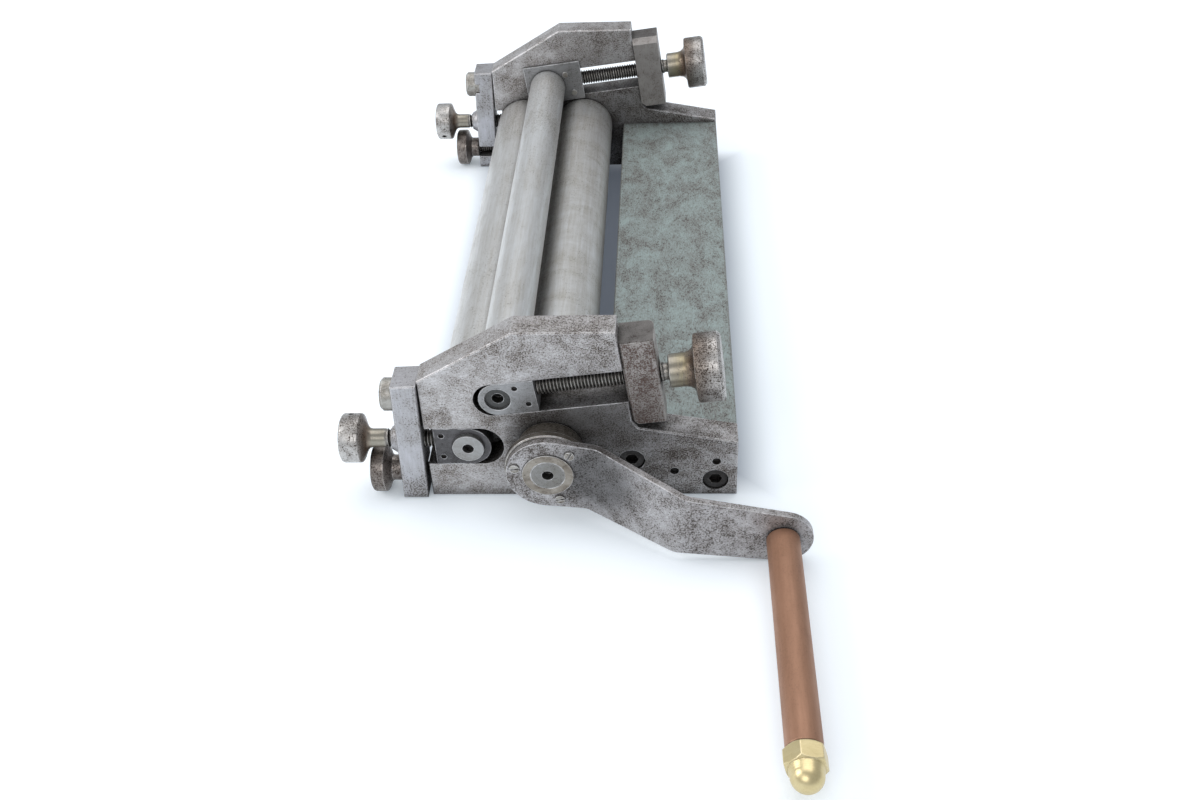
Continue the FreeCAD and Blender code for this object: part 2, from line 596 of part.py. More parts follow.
def roll(name, dia, journal, x, z, near_end, far_end, shoulder="{plate_thick}"):
    """A steel roll with a journal at each end, and a lathe centre in each journal. It starts and
    stops a small gap inside the shoulder, which is measured from each plate's outer face."""
    start = f"({shoulder} + {{roll_end_gap}})"
    stop = f"({OVERALL} - {shoulder} - {{roll_end_gap}})"
    body = turned(name, [
        (near_end, f"{journal} / 2"), (start, f"{journal} / 2"),
        (start, f"{dia} / 2 - {{edge_break}}"), (f"{start} + {{edge_break}}", f"{dia} / 2"),
        (f"{stop} - {{edge_break}}", f"{dia} / 2"), (stop, f"{dia} / 2 - {{edge_break}}"),
        (stop, f"{journal} / 2"), (far_end, f"{journal} / 2"),
    ])
    near_centre = rod(name + "_near_centre", "x", "{centre_hole_dia}", "{centre_hole_deep} + 1",
                      f"{near_end} - 1", "0", "0")
    far_centre = rod(name + "_far_centre", "x", "{centre_hole_dia}", "{centre_hole_deep} + 1",
                     f"{far_end} - {{centre_hole_deep}}", "0", "0")
    return along_rolls(cut(name + "_cut", body, near_centre, far_centre), x, z)


finish(roll("front_roll_blank", "{lower_roll_dia}", "{front_journal_dia}", "{front_roll_x}",
            "{lower_axis_z}", "-{front_journal_proud}", f"{OVERALL} + {{front_journal_proud}}"),
       "front_roll")
finish(roll("top_roll_blank", "{top_roll_dia}", "{top_journal_dia}", "{top_roll_x}",
            "{top_roll_z}", "{top_journal_sunk}", f"{OVERALL} - {{top_journal_sunk}}",
            f"({TOP_BLOCK_DEEP} + {{guide_thick}})"),
       "top_roll")


def key_block(name):
    """The square key between the drive roll's journal and the hub."""
    return block(name, "{drive_roll_x} - {key_wide} / 2", "-{arm_face} + {arm_thick} + 2",
                 "{lower_axis_z} + {drive_journal_dia} / 2 - {key_sunk}",
                 "{key_wide}", "{key_long}", "{key_wide}")


drive_roll = roll("drive_roll_blank", "{lower_roll_dia}", "{drive_journal_dia}", "{drive_roll_x}",
                  "{lower_axis_z}", "-{hub_front}", f"{OVERALL}")
finish(cut("drive_roll_cut", drive_roll, key_block("drive_roll_keyway")), "drive_roll")
finish(key_block("key_blank"), "drive_key")


# ---------------------------------------------------------------- thumbscrews

def radial_hole(name, x, turn):
    """The tommy bar hole in a knob's rim, turned about the screw's own axis."""
    floor = "({front_knob_dia} / 2 - {tommy_hole_deep})"
    hole = rod(name, "z", "{tommy_hole_dia}", "{tommy_hole_deep} + 1", x, "0", "0")
    return place(hole, x, f"-{floor} * sin({turn} * 1deg)", f"{floor} * cos({turn} * 1deg)",
                 (1, 0, 0), str(turn))


def front_thumbscrew(end, turn):
    """Knob, flared shoulder, neck and thread in one, with a head that the stop pins hold."""
    name = f"{end}_front_thumbscrew"
    knob, edge = "{front_knob_dia} / 2", "-{front_knob_left} + {front_knob_thick}"
    pin_edge = "{front_pin_x} + {stop_pin_dia} / 2 + {pin_clear}"
    body = turned(name, [
        ("-{front_knob_left}", f"{knob} - {{knob_bevel}}"),
        ("-{front_knob_left} + {knob_bevel}", knob), (edge, knob),
        (edge + " + {front_flare_waist}", f"{knob} / 2"),
        (edge + " + {front_flare_long}", "{thread_dia} / 2"),
        (pin_edge, "{thread_dia} / 2"), (pin_edge, f"{FRONT_TIP} / 2"),
        (pin_edge + " + {front_tip_thick}", f"{FRONT_TIP} / 2"),
    ])
    hole = radial_hole(name + "_hole", "-{front_knob_left} + {front_knob_thick} / 2", turn)
    finish(place(cut(name + "_cut", body, hole), "0", depth(end, FRONT_MID, "0"), "{lower_axis_z}"),
           name)


def top_thumbscrew(end):
    """Large knob, collar and thread in one, with a head that the lower stop pin holds."""
    name = f"{end}_top_thumbscrew"
    outer = f"{STEP_U} + {{yoke_wide}} + {{collar_start}}"
    knob = "{top_knob_dia} / 2"
    inner = outer + " + {collar_long}"
    neck = "{top_pin_b} - {stop_pin_dia} / 2 - {pin_clear}"
    shoulder = "{top_block_right} + {tip_clear}"
    body = turned(name, [
        ("{top_tip_start}", "{top_tip_dia} / 2"), (neck, "{top_tip_dia} / 2"),
        (neck, "{top_neck_dia} / 2"), (shoulder, "{top_neck_dia} / 2"),
        (shoulder, "{thread_dia} / 2"), (outer, "{thread_dia} / 2"),
        (outer + " + {edge_break}", "{collar_dia} / 2"),
        (inner + " - {collar_flare}", "{collar_dia} / 2"),
        (inner + " - {collar_flare} / 3", "{collar_dia} / 2 + {collar_flare} / 3"),
        (inner, "{collar_dia} / 2 + {collar_flare}"), (inner, knob + " - {knob_bevel} / 2"),
        (inner + " + {knob_bevel} / 2", knob), (inner + " + {top_knob_thick} - {knob_bevel}", knob),
        (inner + " + {top_knob_thick}", knob + " - {knob_bevel}"),
    ])
    finish(place(body, "{top_roll_x}", depth(end, TOP_MID, "0"), "{top_roll_z}",
                 (0, -1, 0), "{slot_tilt}"), name)


def clamp_screw(end):
    """The lower thumbscrew, which holds the keeper's foot to the plate."""
    name = f"{end}_clamp_thumbscrew"
    knob, edge = "{clamp_knob_dia} / 2", "-{clamp_knob_left} + {clamp_knob_thick}"
    shoulder = CLAMP_FACE + " - {clamp_seat_gap}"
    body = turned(name, [
        ("-{clamp_knob_left}", f"{knob} - {{knob_bevel}}"),
        ("-{clamp_knob_left} + {knob_bevel}", knob), (edge, knob),
        (edge + " + 1.5 * {knob_bevel}", "{clamp_collar_dia} / 2 + {knob_bevel}"),
        (edge + " + 2.2 * {knob_bevel}", "{clamp_collar_dia} / 2"),
        (shoulder, "{clamp_collar_dia} / 2"), (shoulder, "{clamp_thread_dia} / 2"),
        ("{clamp_reach}", "{clamp_thread_dia} / 2"),
    ])
    finish(place(body, "0", depth(end, MID, "0"), "{clamp_axis_z}"), name)


for side, hole_turn in (("near", -24), ("far", 122)):
    front_thumbscrew(side, hole_turn)
    top_thumbscrew(side)
    clamp_screw(side)


# ---------------------------------------------------------------- crank

def crank_hub():
    """A flanged drum on the drive roll's journal. Its spigot comes through the arm."""
    back = "(-{arm_face} + {arm_thick})"
    flange = back + " + {flange_thick}"
    blank = turned("hub_blank", [
        ("-{hub_front}", "{spigot_dia} / 2"), (back, "{spigot_dia} / 2"),
        (back, "{flange_dia} / 2 - 0.4"), (back + " + 0.4", "{flange_dia} / 2"),
        (flange, "{flange_dia} / 2"), (flange + " + 0.8", "{drum_dia} / 2 + 1.2"),
        (flange + " + 2.6", "{drum_dia} / 2"), ("-{hub_gap} - 0.5", "{drum_dia} / 2"),
        ("-{hub_gap}", "{drum_dia} / 2 - 0.5"),
    ])
    solid = along_rolls(blank, "{drive_roll_x}", "{lower_axis_z}")
    tools = [rod("hub_bore", "y", "{drive_journal_dia}", "{hub_front} + 2", "{drive_roll_x}",
                 "-{hub_front} - 1", "{lower_axis_z}"),
             key_block("hub_keyway")]
    for key, (x, z) in arm_screw_spots().items():
        tools.append(rod(f"hub_tap_{key}", "y", "{arm_screw_dia}", "{flange_thick} + 1", x,
                         "-{arm_face} + {arm_thick} - 1", z))
    finish(cut("hub_cut", solid, *tools), "crank_hub")


def arm_screw_spots():
    return {key: (f"{{drive_roll_x}} + {{arm_screw_circle}} * cos({angle} * 1deg)",
                  f"{{lower_axis_z}} + {{arm_screw_circle}} * sin({angle} * 1deg)")
            for key, angle in ARM_SCREW_ANGLES.items()}


def arm_screws():
    """Three slotted pan head screws that hold the arm to the hub's flange."""
    screws = []
    for key, (x, z) in arm_screw_spots().items():
        name = f"arm_screw_{key}"
        front = "-{arm_face} - {arm_screw_proud}"
        solid = fuse(name + "_blank",
                     rod(name + "_head", "y", "{arm_screw_head}", "{arm_screw_proud}", x, front, z),
                     rod(name + "_shank", "y", "{arm_screw_dia}", "{arm_thick} + {flange_thick}", x,
                         "-{arm_face}", z))
        slot = block(name + "_slot", "-{arm_screw_head}", "-0.5", "-0.35", "2 * {arm_screw_head}",
                     "1", "0.7")
        slot_at = group(name + "_slot_turned", slot)
        lean = {"a": 8, "b": 62, "c": 12}[key]
        place(slot_at, x, front, z, (0, -1, 0), str(lean))
        screws.append(cut(name, solid, slot_at))
    finish(group("arm_screw_set", *screws), "arm_screws")


def crank_arm():
    """A tapered flat bar, cranked outwards between hub and handle so that the hand clears the
    plates. Drawn level, about the drive roll's axis, then turned down to where it rests."""
    angle = "atan({joggle_out} / ({joggle_end} - {joggle_start}))"
    shift = "{arm_thick} * tan(" + angle + " / 2)"
    out = "{arm_face} + {joggle_out}"
    side_view, pad = slab("arm_side", "XY_Plane", [
        ("-{arm_hub_radius} - 1", "-{arm_face}"), ("{joggle_start}", "-{arm_face}"),
        ("{joggle_end}", f"-({out})"), ("{throw} + {arm_end_radius} + 1", f"-({out})"),
        ("{throw} + {arm_end_radius} + 1", f"-({out}) + {{arm_thick}}"),
        ("{joggle_end} + " + shift, f"-({out}) + {{arm_thick}}"),
        ("{joggle_start} + " + shift, "-{arm_face} + {arm_thick}"),
        ("-{arm_hub_radius} - 1", "-{arm_face} + {arm_thick}"),
    ], "2 * {arm_hub_radius} + 2")
    round_bends(side_view, pad)
    place(side_view, z="-{arm_hub_radius} - 1")
    slope = "(({arm_hub_radius} - {arm_end_radius}) / {throw})"
    flank = f"sqrt(1 - {slope} * {slope})"
    web, web_pad = slab("arm_web", "XZ_Plane", [
        (f"{{arm_hub_radius}} * {slope}", f"-{{arm_hub_radius}} * {flank}"),
        (f"{{throw}} + {{arm_end_radius}} * {slope}", f"-{{arm_end_radius}} * {flank}"),
        (f"{{throw}} + {{arm_end_radius}} * {slope}", f"{{arm_end_radius}} * {flank}"),
        (f"{{arm_hub_radius}} * {slope}", f"{{arm_hub_radius}} * {flank}"),
    ], "{arm_face} + {joggle_out} + 2")
    deep = "{arm_face} + {joggle_out} + 2"
    place(web, y=f"-({deep})")
    face_view = fuse("arm_face_view", web,
                     rod("arm_hub_end", "y", "2 * {arm_hub_radius}", deep, "0", f"-({deep})", "0"),
                     rod("arm_far_end", "y", "2 * {arm_end_radius}", deep, "{throw}", f"-({deep})", "0"))
    level = cut("arm_level", common("arm_blank", side_view, face_view),
                rod("arm_hub_hole", "y", "{spigot_dia}", deep, "0", f"-({deep})", "0"),
                rod("arm_stud_hole", "y", "{stud_dia}", deep, "{throw}", f"-({deep}) - 1", "0"))
    rested = place(level, "{drive_roll_x}", "0", "{lower_axis_z}", (0, 1, 0), "{droop}")
    holes = [rod(f"arm_hole_{key}", "y", "{arm_screw_dia}", "{arm_thick} + 2", x, "-{arm_face} - 1", z)
             for key, (x, z) in arm_screw_spots().items()]
    finish(cut("arm_cut", rested, *holes), "crank_arm")


def round_bends(body, pad):
    """Rounds the bar's four bend lines, the outside of each bend by the bar's thickness more."""
    spots = {}
    for index, edge in enumerate(pad.Shape.Edges, start=1):
        first, second = [vertex.Point for vertex in edge.Vertexes]
        if abs(first.x - second.x) + abs(first.y - second.y) < 0.001:
            spots[(round(first.x, 2), round(first.y, 2))] = f"Edge{index}"
    bends = sorted(spots)[2:-2]
    first_bend, second_bend = bends[:2], bends[2:]
    inner = [min(first_bend, key=lambda spot: spot[1]), max(second_bend, key=lambda spot: spot[1])]
    outer = [spot for spot in bends if spot not in inner]
    base = pad
    for tag, chosen, size in (("inner", inner, "{bend_radius}"),
                              ("outer", outer, "{bend_radius} + {arm_thick}")):
        names = []
        for index, edge in enumerate(base.Shape.Edges, start=1):
            ends = [vertex.Point for vertex in edge.Vertexes]
            if len(ends) == 2 and abs(ends[0].x - ends[1].x) + abs(ends[0].y - ends[1].y) < 0.001:
                if any(abs(ends[0].x - x) + abs(ends[0].y - y) < 0.02 for x, y in chosen):
                    names.append(f"Edge{index}")
        fillet = body.newObject("PartDesign::Fillet", f"arm_{tag}_bends")
        fillet.Base = (base, names)
        bind(fillet, Radius=size)
        doc.recompute()
        base = fillet


crank_hub()
arm_screws()
crank_arm()


# ---------------------------------------------------------------- handle

HANDLE_X = "{drive_roll_x} + {throw} * cos({droop} * 1deg)"
HANDLE_Z = "{lower_axis_z} - {throw} * sin({droop} * 1deg)"
ARM_OUT = "({arm_face} + {joggle_out})"
GRIP_START = f"({ARM_OUT} + {{grip_gap}})"
GRIP_END = f"({GRIP_START} + {{grip_long}})"
CORE_END = f"({GRIP_END} + {{grip_gap}})"


def along_handle(item):
    """Lays a turned piece along the handle, outwards from the near plate's face."""
    return place(item, HANDLE_X, "0", HANDLE_Z, (0, 0, -1), "90")


stud = turned("stud_blank", [
    (f"{ARM_OUT} - {{arm_thick}} - {{stud_head_thick}}", "{stud_head_dia} / 2"),
    (f"{ARM_OUT} - {{arm_thick}}", "{stud_head_dia} / 2"),
    (f"{ARM_OUT} - {{arm_thick}}", "{stud_dia} / 2"), (ARM_OUT, "{stud_dia} / 2"),
    (ARM_OUT, "{core_dia} / 2"), (CORE_END, "{core_dia} / 2"), (CORE_END, "{stud_dia} / 2"),
    (f"{CORE_END} + {{nut_hex_long}} + 2", "{stud_dia} / 2"),
])
finish(along_handle(stud), "handle_stud")

grip = turned("grip_blank", [
    (GRIP_START, "{grip_dia} / 2 - {grip_bevel}"), (f"{GRIP_START} + {{grip_bevel}}", "{grip_dia} / 2"),
    (f"{GRIP_END} - {{grip_bevel}}", "{grip_dia} / 2"), (GRIP_END, "{grip_dia} / 2 - {grip_bevel}"),
])
grip_bore = rod("grip_bore_tool", "x", "{grip_bore}", "{grip_long} + 4", f"{GRIP_START} - 2", "0", "0")
finish(along_handle(cut("grip_cut", grip, grip_bore)), "grip_tube")


def dome_nut():
    """A hexagon with a bullet-shaped cap, bored blind for the stud."""
    hex_end = f"({CORE_END} + {{nut_hex_long}})"
    inside = f"({hex_end} - 1)"
    prism = group("nut_prism_turned", hexagon("nut_prism", "x", "{nut_flats}", "{nut_hex_long}",
                                              CORE_END, "0", "0"))
    hexagon_part = common("nut_hexagon", place(prism, "0", "0", "0", (1, 0, 0), "{nut_turn}"), turned(
        "nut_chamfer", [
            (CORE_END, "{nut_flats} / 2"), (f"{CORE_END} + {{nut_bevel}}", "{nut_flats} / sqrt(3)"),
            (f"{hex_end} - {{nut_bevel}}", "{nut_flats} / sqrt(3)"), (hex_end, "{nut_flats} / 2"),
        ]))
    ball = doc.addObject("Part::Sphere", "nut_ball")
    bind(ball, Radius="{dome_dia} / 2")
    place(ball, f"{hex_end} + {{nut_neck_long}}")
    neck = turned("nut_neck", [
        (inside, "{dome_base_dia} / 2"), (hex_end, "{dome_base_dia} / 2"),
        (f"{hex_end} + {{nut_neck_long}}", "{dome_dia} / 2"),
    ])
    cap = common("nut_cap", fuse("nut_cap_blank", ball, neck),
                 rod("nut_trim", "x", "2 * {dome_dia}", "2 * {dome_dia}", inside, "0", "0"))
    bore = rod("nut_bore", "x", "{stud_dia}", "{nut_hex_long} + 3", f"{CORE_END} - 1", "0", "0")
    finish(along_handle(cut("nut_cut", fuse("nut_blank", hexagon_part, cap), bore)), "dome_nut")


dome_nut()


# ---------------------------------------------------------------- checks and output

doc.recompute()
faults = [f"{item.Name}: {item.State}" for item in doc.Objects
          if "Invalid" in item.State or "Error" in item.State]
for node in nodes:
    if node.Shape.isNull() or not node.Shape.isValid():
        faults.append(f"{node.Label}: bad shape")
    if not node.Shape.Solids:
        faults.append(f"{node.Label}: no solid")
if len({node.Label for node in nodes}) != len(nodes):
    faults.append("two pieces have the same label")
if faults:
    raise RuntimeError("\n".join(faults))

os.makedirs("parts", exist_ok=True)
for node in nodes:
    node.Shape.exportStep(f"parts/{node.Label}.step")
    size = node.Shape.BoundBox
    print(f"{node.Label}: {len(node.Shape.Solids)} solid, {node.Shape.Volume:.0f} mm3,"
          f" x {size.XMin:.1f}..{size.XMax:.1f}, y {size.YMin:.1f}..{size.YMax:.1f},"
          f" z {size.ZMin:.1f}..{size.ZMax:.1f}")
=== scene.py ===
import json
import math

import bmesh
import bpy
from mathutils import Matrix, Vector


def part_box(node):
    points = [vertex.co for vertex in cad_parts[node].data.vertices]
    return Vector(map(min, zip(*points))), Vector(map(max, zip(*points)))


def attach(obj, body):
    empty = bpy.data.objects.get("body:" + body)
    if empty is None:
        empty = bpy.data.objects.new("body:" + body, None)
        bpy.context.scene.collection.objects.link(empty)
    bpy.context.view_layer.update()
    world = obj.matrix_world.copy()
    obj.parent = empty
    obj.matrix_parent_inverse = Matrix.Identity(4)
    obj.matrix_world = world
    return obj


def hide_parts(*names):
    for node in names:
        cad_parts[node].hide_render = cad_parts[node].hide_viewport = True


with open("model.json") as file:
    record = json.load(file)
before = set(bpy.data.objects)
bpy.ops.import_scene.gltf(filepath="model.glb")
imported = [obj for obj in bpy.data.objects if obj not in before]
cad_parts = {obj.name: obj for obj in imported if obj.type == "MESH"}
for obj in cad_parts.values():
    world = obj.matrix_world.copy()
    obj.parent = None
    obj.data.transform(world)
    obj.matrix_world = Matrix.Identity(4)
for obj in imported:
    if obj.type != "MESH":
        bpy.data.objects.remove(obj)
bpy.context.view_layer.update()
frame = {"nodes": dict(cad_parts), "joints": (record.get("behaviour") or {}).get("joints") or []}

# The bench top, the light and the camera. The slip rolls stand on a pale laminate in a white
# light tent: a broad soft light overhead, others from the left and from beside the camera. The
# laminate has a painted glow, and a painted shadow under the machine.
scene = bpy.context.scene
scene.view_settings.view_transform = "Standard"

FLOOR_REACH = 6.0
floor_mesh = bpy.data.meshes.new("bench_top")
floor_mesh.from_pydata([(-FLOOR_REACH, -FLOOR_REACH, 0), (FLOOR_REACH, -FLOOR_REACH, 0),
                        (FLOOR_REACH, FLOOR_REACH, 0), (-FLOOR_REACH, FLOOR_REACH, 0)],
                       [], [(0, 1, 2, 3)])
floor = bpy.data.objects.new("bench_top", floor_mesh)
scene.collection.objects.link(floor)


MIX_A, MIX_B, MIXED = 6, 7, 2    # a Mix node's colour sockets
FOOT_MARGIN, SHADE_INSIDE, SHADE_OUTSIDE = 0.002, 0.012, 0.02


def add(tree, kind, inputs=None, **settings):
    """A shader node with its inputs and settings."""
    node = tree.nodes.new("ShaderNode" + kind)
    for key, value in settings.items():
        setattr(node, key, value)
    for key, value in (inputs or {}).items():
        node.inputs[key].default_value = value
    return node


def join(tree, *hops):
    """Links nodes. Each hop is source node, its output, target node, its input."""
    for source, out, target, into in hops:
        tree.links.new(source.outputs[out], target.inputs[into])


def remap(tree, start, end, low=0.0, high=1.0, curve="SMOOTHSTEP"):
    """A node whose value runs from low to high while its input runs from start to end."""
    ends = {"From Min": start, "From Max": end, "To Min": low, "To Max": high}
    return add(tree, "MapRange", ends, interpolation_type=curve)


def laminate_with_painted_light():
    """White sheet with a painted glow, and a painted shadow where the machine stands over it."""
    material = bpy.data.materials.new("laminate_with_painted_light")
    material.use_nodes = True
    tree = material.node_tree
    shader = tree.nodes["Principled BSDF"]
    shader.inputs["Roughness"].default_value = 0.75
    shader.inputs["Specular IOR Level"].default_value = 0.2
    shader.inputs["Emission Strength"].default_value = 0.22
    bar_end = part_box("bed_bar")[1]
    roll_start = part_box("front_roll")[0]
    middle = (roll_start.x + bar_end.x) / 2, 0
    half = (bar_end.x - roll_start.x) / 2 + FOOT_MARGIN, bar_end.y
    at = add(tree, "TexCoord")
    apart = add(tree, "SeparateXYZ")
    join(tree, (at, "Object", apart, 0))
    sides = []
    for axis in (0, 1):
        offset = add(tree, "Math", {1: middle[axis]}, operation="SUBTRACT")
        size = add(tree, "Math", operation="ABSOLUTE")
        outside = remap(tree, half[axis] - SHADE_INSIDE, half[axis] + SHADE_OUTSIDE)
        join(tree, (apart, axis, offset, 0), (offset, 0, size, 0), (size, 0, outside, "Value"))
        sides.append(outside)
    clear = add(tree, "Math", operation="MAXIMUM")
    # Painted light: the sheet glows, and both its glow and its colour are darker under the machine
    # as painted shadow.
    painted_glow = add(tree, "Mix", {MIX_A: (0.20, 0.23, 0.29, 1), MIX_B: (0.84, 0.93, 1.0, 1)},
               data_type="RGBA")
    painted_shadow_sheet = add(tree, "Mix", {MIX_A: (0.30, 0.33, 0.38, 1), MIX_B: (0.79, 0.82, 0.85, 1)},
                data_type="RGBA")
    join(tree, (sides[0], 0, clear, 0), (sides[1], 0, clear, 1), (clear, 0, painted_glow, 0),
         (clear, 0, painted_shadow_sheet, 0), (painted_glow, MIXED, shader, "Emission Color"),
         (painted_shadow_sheet, MIXED, shader, "Base Color"))
    return material


floor_mesh.materials.append(laminate_with_painted_light())

tent = bpy.data.worlds.new("light_tent")
scene.world = tent
tent.use_nodes = True
tent.node_tree.nodes["Background"].inputs["Color"].default_value = (0.90, 0.95, 1.0, 1)
tent.node_tree.nodes["Background"].inputs["Strength"].default_value = 0.62


def soft_box(name, place, size, watts):
    """A square-cut soft light, in metres and watts, turned to the middle of the bench."""
    lamp = bpy.data.lights.new(name, "AREA")
    lamp.shape = "RECTANGLE"
    lamp.size, lamp.size_y = size
    lamp.energy = watts
    box = bpy.data.objects.new(name, lamp)
    box.location = place
    box.rotation_euler = (-Vector(place)).to_track_quat("-Z", "Y").to_euler()
    scene.collection.objects.link(box)


soft_box("overhead_light", place=(0.1, 0.4, 1.5), size=(1.8, 1.4), watts=13)
soft_box("left_light", place=(-1.5, -0.1, 0.9), size=(1.0, 1.0), watts=12)
soft_box("camera_side_light", place=(-0.5, -1.4, 1.0), size=(1.0, 0.8), watts=6)

CAMERA_PLACE = Vector((-0.0008, -0.5529, 0.3734))
CAMERA_LENS, CAMERA_SENSOR = 38.34, 36
CAMERA_TURN, CAMERA_DOWN, CAMERA_LEAN = (math.radians(angle) for angle in (4.016, 38.689, -2.862))
camera = bpy.data.cameras.new("camera")
camera.sensor_width = CAMERA_SENSOR
camera.lens = CAMERA_LENS
eye = bpy.data.objects.new("camera", camera)
eye.matrix_world = (Matrix.Translation(CAMERA_PLACE) @ Matrix.Rotation(CAMERA_TURN, 4, "Z")
                    @ Matrix.Rotation(math.pi / 2 - CAMERA_DOWN, 4, "X")
                    @ Matrix.Rotation(CAMERA_LEAN, 4, "Z"))
scene.collection.objects.link(eye)
scene.camera = eye

# The two end plates. Sawn and filed from half-inch steel plate, bare, with a grey-brown patina on
# the faces, painted shade round the drive roll's bearing and on the top faces, grime and painted
# shade in the slots, and draw-filed bright edges with a painted highlight.


def effect(name, inputs, outputs):
    """An empty shader group with its sockets. Inputs are name: default, outputs name: kind."""
    group = bpy.data.node_groups.new(name, "ShaderNodeTree")
    for label, value in inputs.items():
        parts = 1 if isinstance(value, (int, float)) else len(value)
        kind = "NodeSocket" + {1: "Float", 3: "Vector", 4: "Color"}[parts]
        socket = group.interface.new_socket(label, in_out="INPUT", socket_type=kind)
        socket.default_value = value
    for label, kind in outputs.items():
        group.interface.new_socket(label, in_out="OUTPUT", socket_type="NodeSocket" + kind)
    return group, group.nodes.new("NodeGroupInput"), group.nodes.new("NodeGroupOutput")


def noise_of_size(group, given, size, detail, rough, warp=0.0):
    """Noise whose grain is the group's input named size, in millimetres."""
    at = add(group, "VectorMath", operation="DIVIDE")
    noise = add(group, "TexNoise",
                {"Scale": 1, "Detail": detail, "Roughness": rough, "Distortion": warp})
    join(group, (given, "Vector", at, 0), (given, size, at, 1), (at, 0, noise, "Vector"))
    return noise


def patina_effect():
    """Mottled bare metal in millimetre sizes: tone blotches, tool marks and rust speckle."""
    group, given, put = effect("patina", {
        "Vector": (0, 0, 0), "Light": (0.5, 0.5, 0.5, 1), "Dark": (0.1, 0.1, 0.1, 1),
        "Rust": (0.05, 0.03, 0.02, 1), "Blotch": (14, 14, 14), "Mottle": 0.5,
        "Tool Marks": (7, 1.2, 0.6), "Marks": 0.3, "Speck": (0.9, 0.9, 0.9), "Speckle": 0.6,
        "Bias": 0.0, "Shade": 1.0, "Rough": 0.45,
    }, {"Color": "Color", "Roughness": "Float", "Height": "Float"})
    gather, level = -0.35, 0.16                   # rust gathers where the blotches are dark
    polish, dulling, pitting = -0.12, 0.3, -1.0   # light metal is smoother, rust rougher and sunk
    blotch = noise_of_size(group, given, "Blotch", 6, 0.68, 0.4)
    marks = noise_of_size(group, given, "Tool Marks", 4, 0.65)
    specks = noise_of_size(group, given, "Speck", 4, 0.72)
    parts = []
    for source, amount in ((blotch, "Mottle"), (marks, "Marks")):
        spread = remap(group, 0.34, 0.68, -0.5, 0.5, "LINEAR")
        weight = add(group, "Math", operation="MULTIPLY")
        join(group, (source, 0, spread, "Value"), (spread, 0, weight, 0),
             (given, amount, weight, 1))
        parts.append(weight)
    both = add(group, "Math", operation="ADD")
    tone = add(group, "Math", {1: 0.5}, operation="ADD", use_clamp=True)
    mixed = add(group, "Mix", data_type="RGBA")
    join(group, (parts[0], 0, both, 0), (parts[1], 0, both, 1), (both, 0, tone, 0),
         (tone, 0, mixed, 0), (given, "Dark", mixed, MIX_A), (given, "Light", mixed, MIX_B))
    patches = add(group, "Math", {1: gather, 2: level}, operation="MULTIPLY_ADD")
    raised = add(group, "Math", operation="ADD")
    biased = add(group, "Math", operation="ADD")
    spot = remap(group, 0.535, 0.62)
    amount = add(group, "Math", operation="MULTIPLY", use_clamp=True)
    rusty = add(group, "Mix", data_type="RGBA")
    shaded = add(group, "VectorMath", operation="SCALE")
    join(group, (blotch, 0, patches, 0), (patches, 0, raised, 0), (specks, 0, raised, 1),
         (raised, 0, biased, 0), (given, "Bias", biased, 1), (biased, 0, spot, "Value"),
         (spot, 0, amount, 0), (given, "Speckle", amount, 1), (amount, 0, rusty, 0),
         (mixed, MIXED, rusty, MIX_A), (given, "Rust", rusty, MIX_B), (rusty, MIXED, shaded, 0),
         (given, "Shade", shaded, "Scale"), (shaded, 0, put, "Color"))
    dull = add(group, "Math", {1: polish}, operation="MULTIPLY_ADD")
    duller = add(group, "Math", {1: dulling}, operation="MULTIPLY_ADD", use_clamp=True)
    height = add(group, "Math", {1: pitting}, operation="MULTIPLY_ADD")
    join(group, (both, 0, dull, 0), (given, "Rough", dull, 2), (amount, 0, duller, 0),
         (dull, 0, duller, 2), (duller, 0, put, "Roughness"), (amount, 0, height, 0),
         (both, 0, height, 2), (height, 0, put, "Height"))
    return group


def edge_effect():
    """Where hands and files have rounded and brightened an edge; a light edge colour also paints a
    highlight.
    """
    group, given, put = effect("edge_wear_and_highlight", {"Vector": (0, 0, 0), "Radius": 0.0006, "Wear and Highlight": 1.0},
                               {"Mask": "Float", "Normal": "Vector"})
    softened = add(group, "Bevel", samples=6)
    face = add(group, "NewGeometry")
    facing = add(group, "VectorMath", operation="DOT_PRODUCT")
    turned = remap(group, 0.998, 0.94)
    chips = add(group, "TexNoise", {"Scale": 0.35, "Detail": 5, "Roughness": 0.7})
    broken = remap(group, 0.35, 0.60, curve="LINEAR")
    edge_mask = add(group, "Math", operation="MULTIPLY")
    mask = add(group, "Math", operation="MULTIPLY", use_clamp=True)
    join(group, (given, "Radius", softened, "Radius"), (softened, 0, facing, 0),
         (face, "Normal", facing, 1), (facing, "Value", turned, "Value"),
         (given, "Vector", chips, "Vector"), (chips, 0, broken, "Value"), (turned, 0, edge_mask, 0),
         (broken, 0, edge_mask, 1), (edge_mask, 0, mask, 0), (given, "Wear and Highlight", mask, 1), (mask, 0, put, "Mask"),
         (softened, 0, put, "Normal"))
    return group


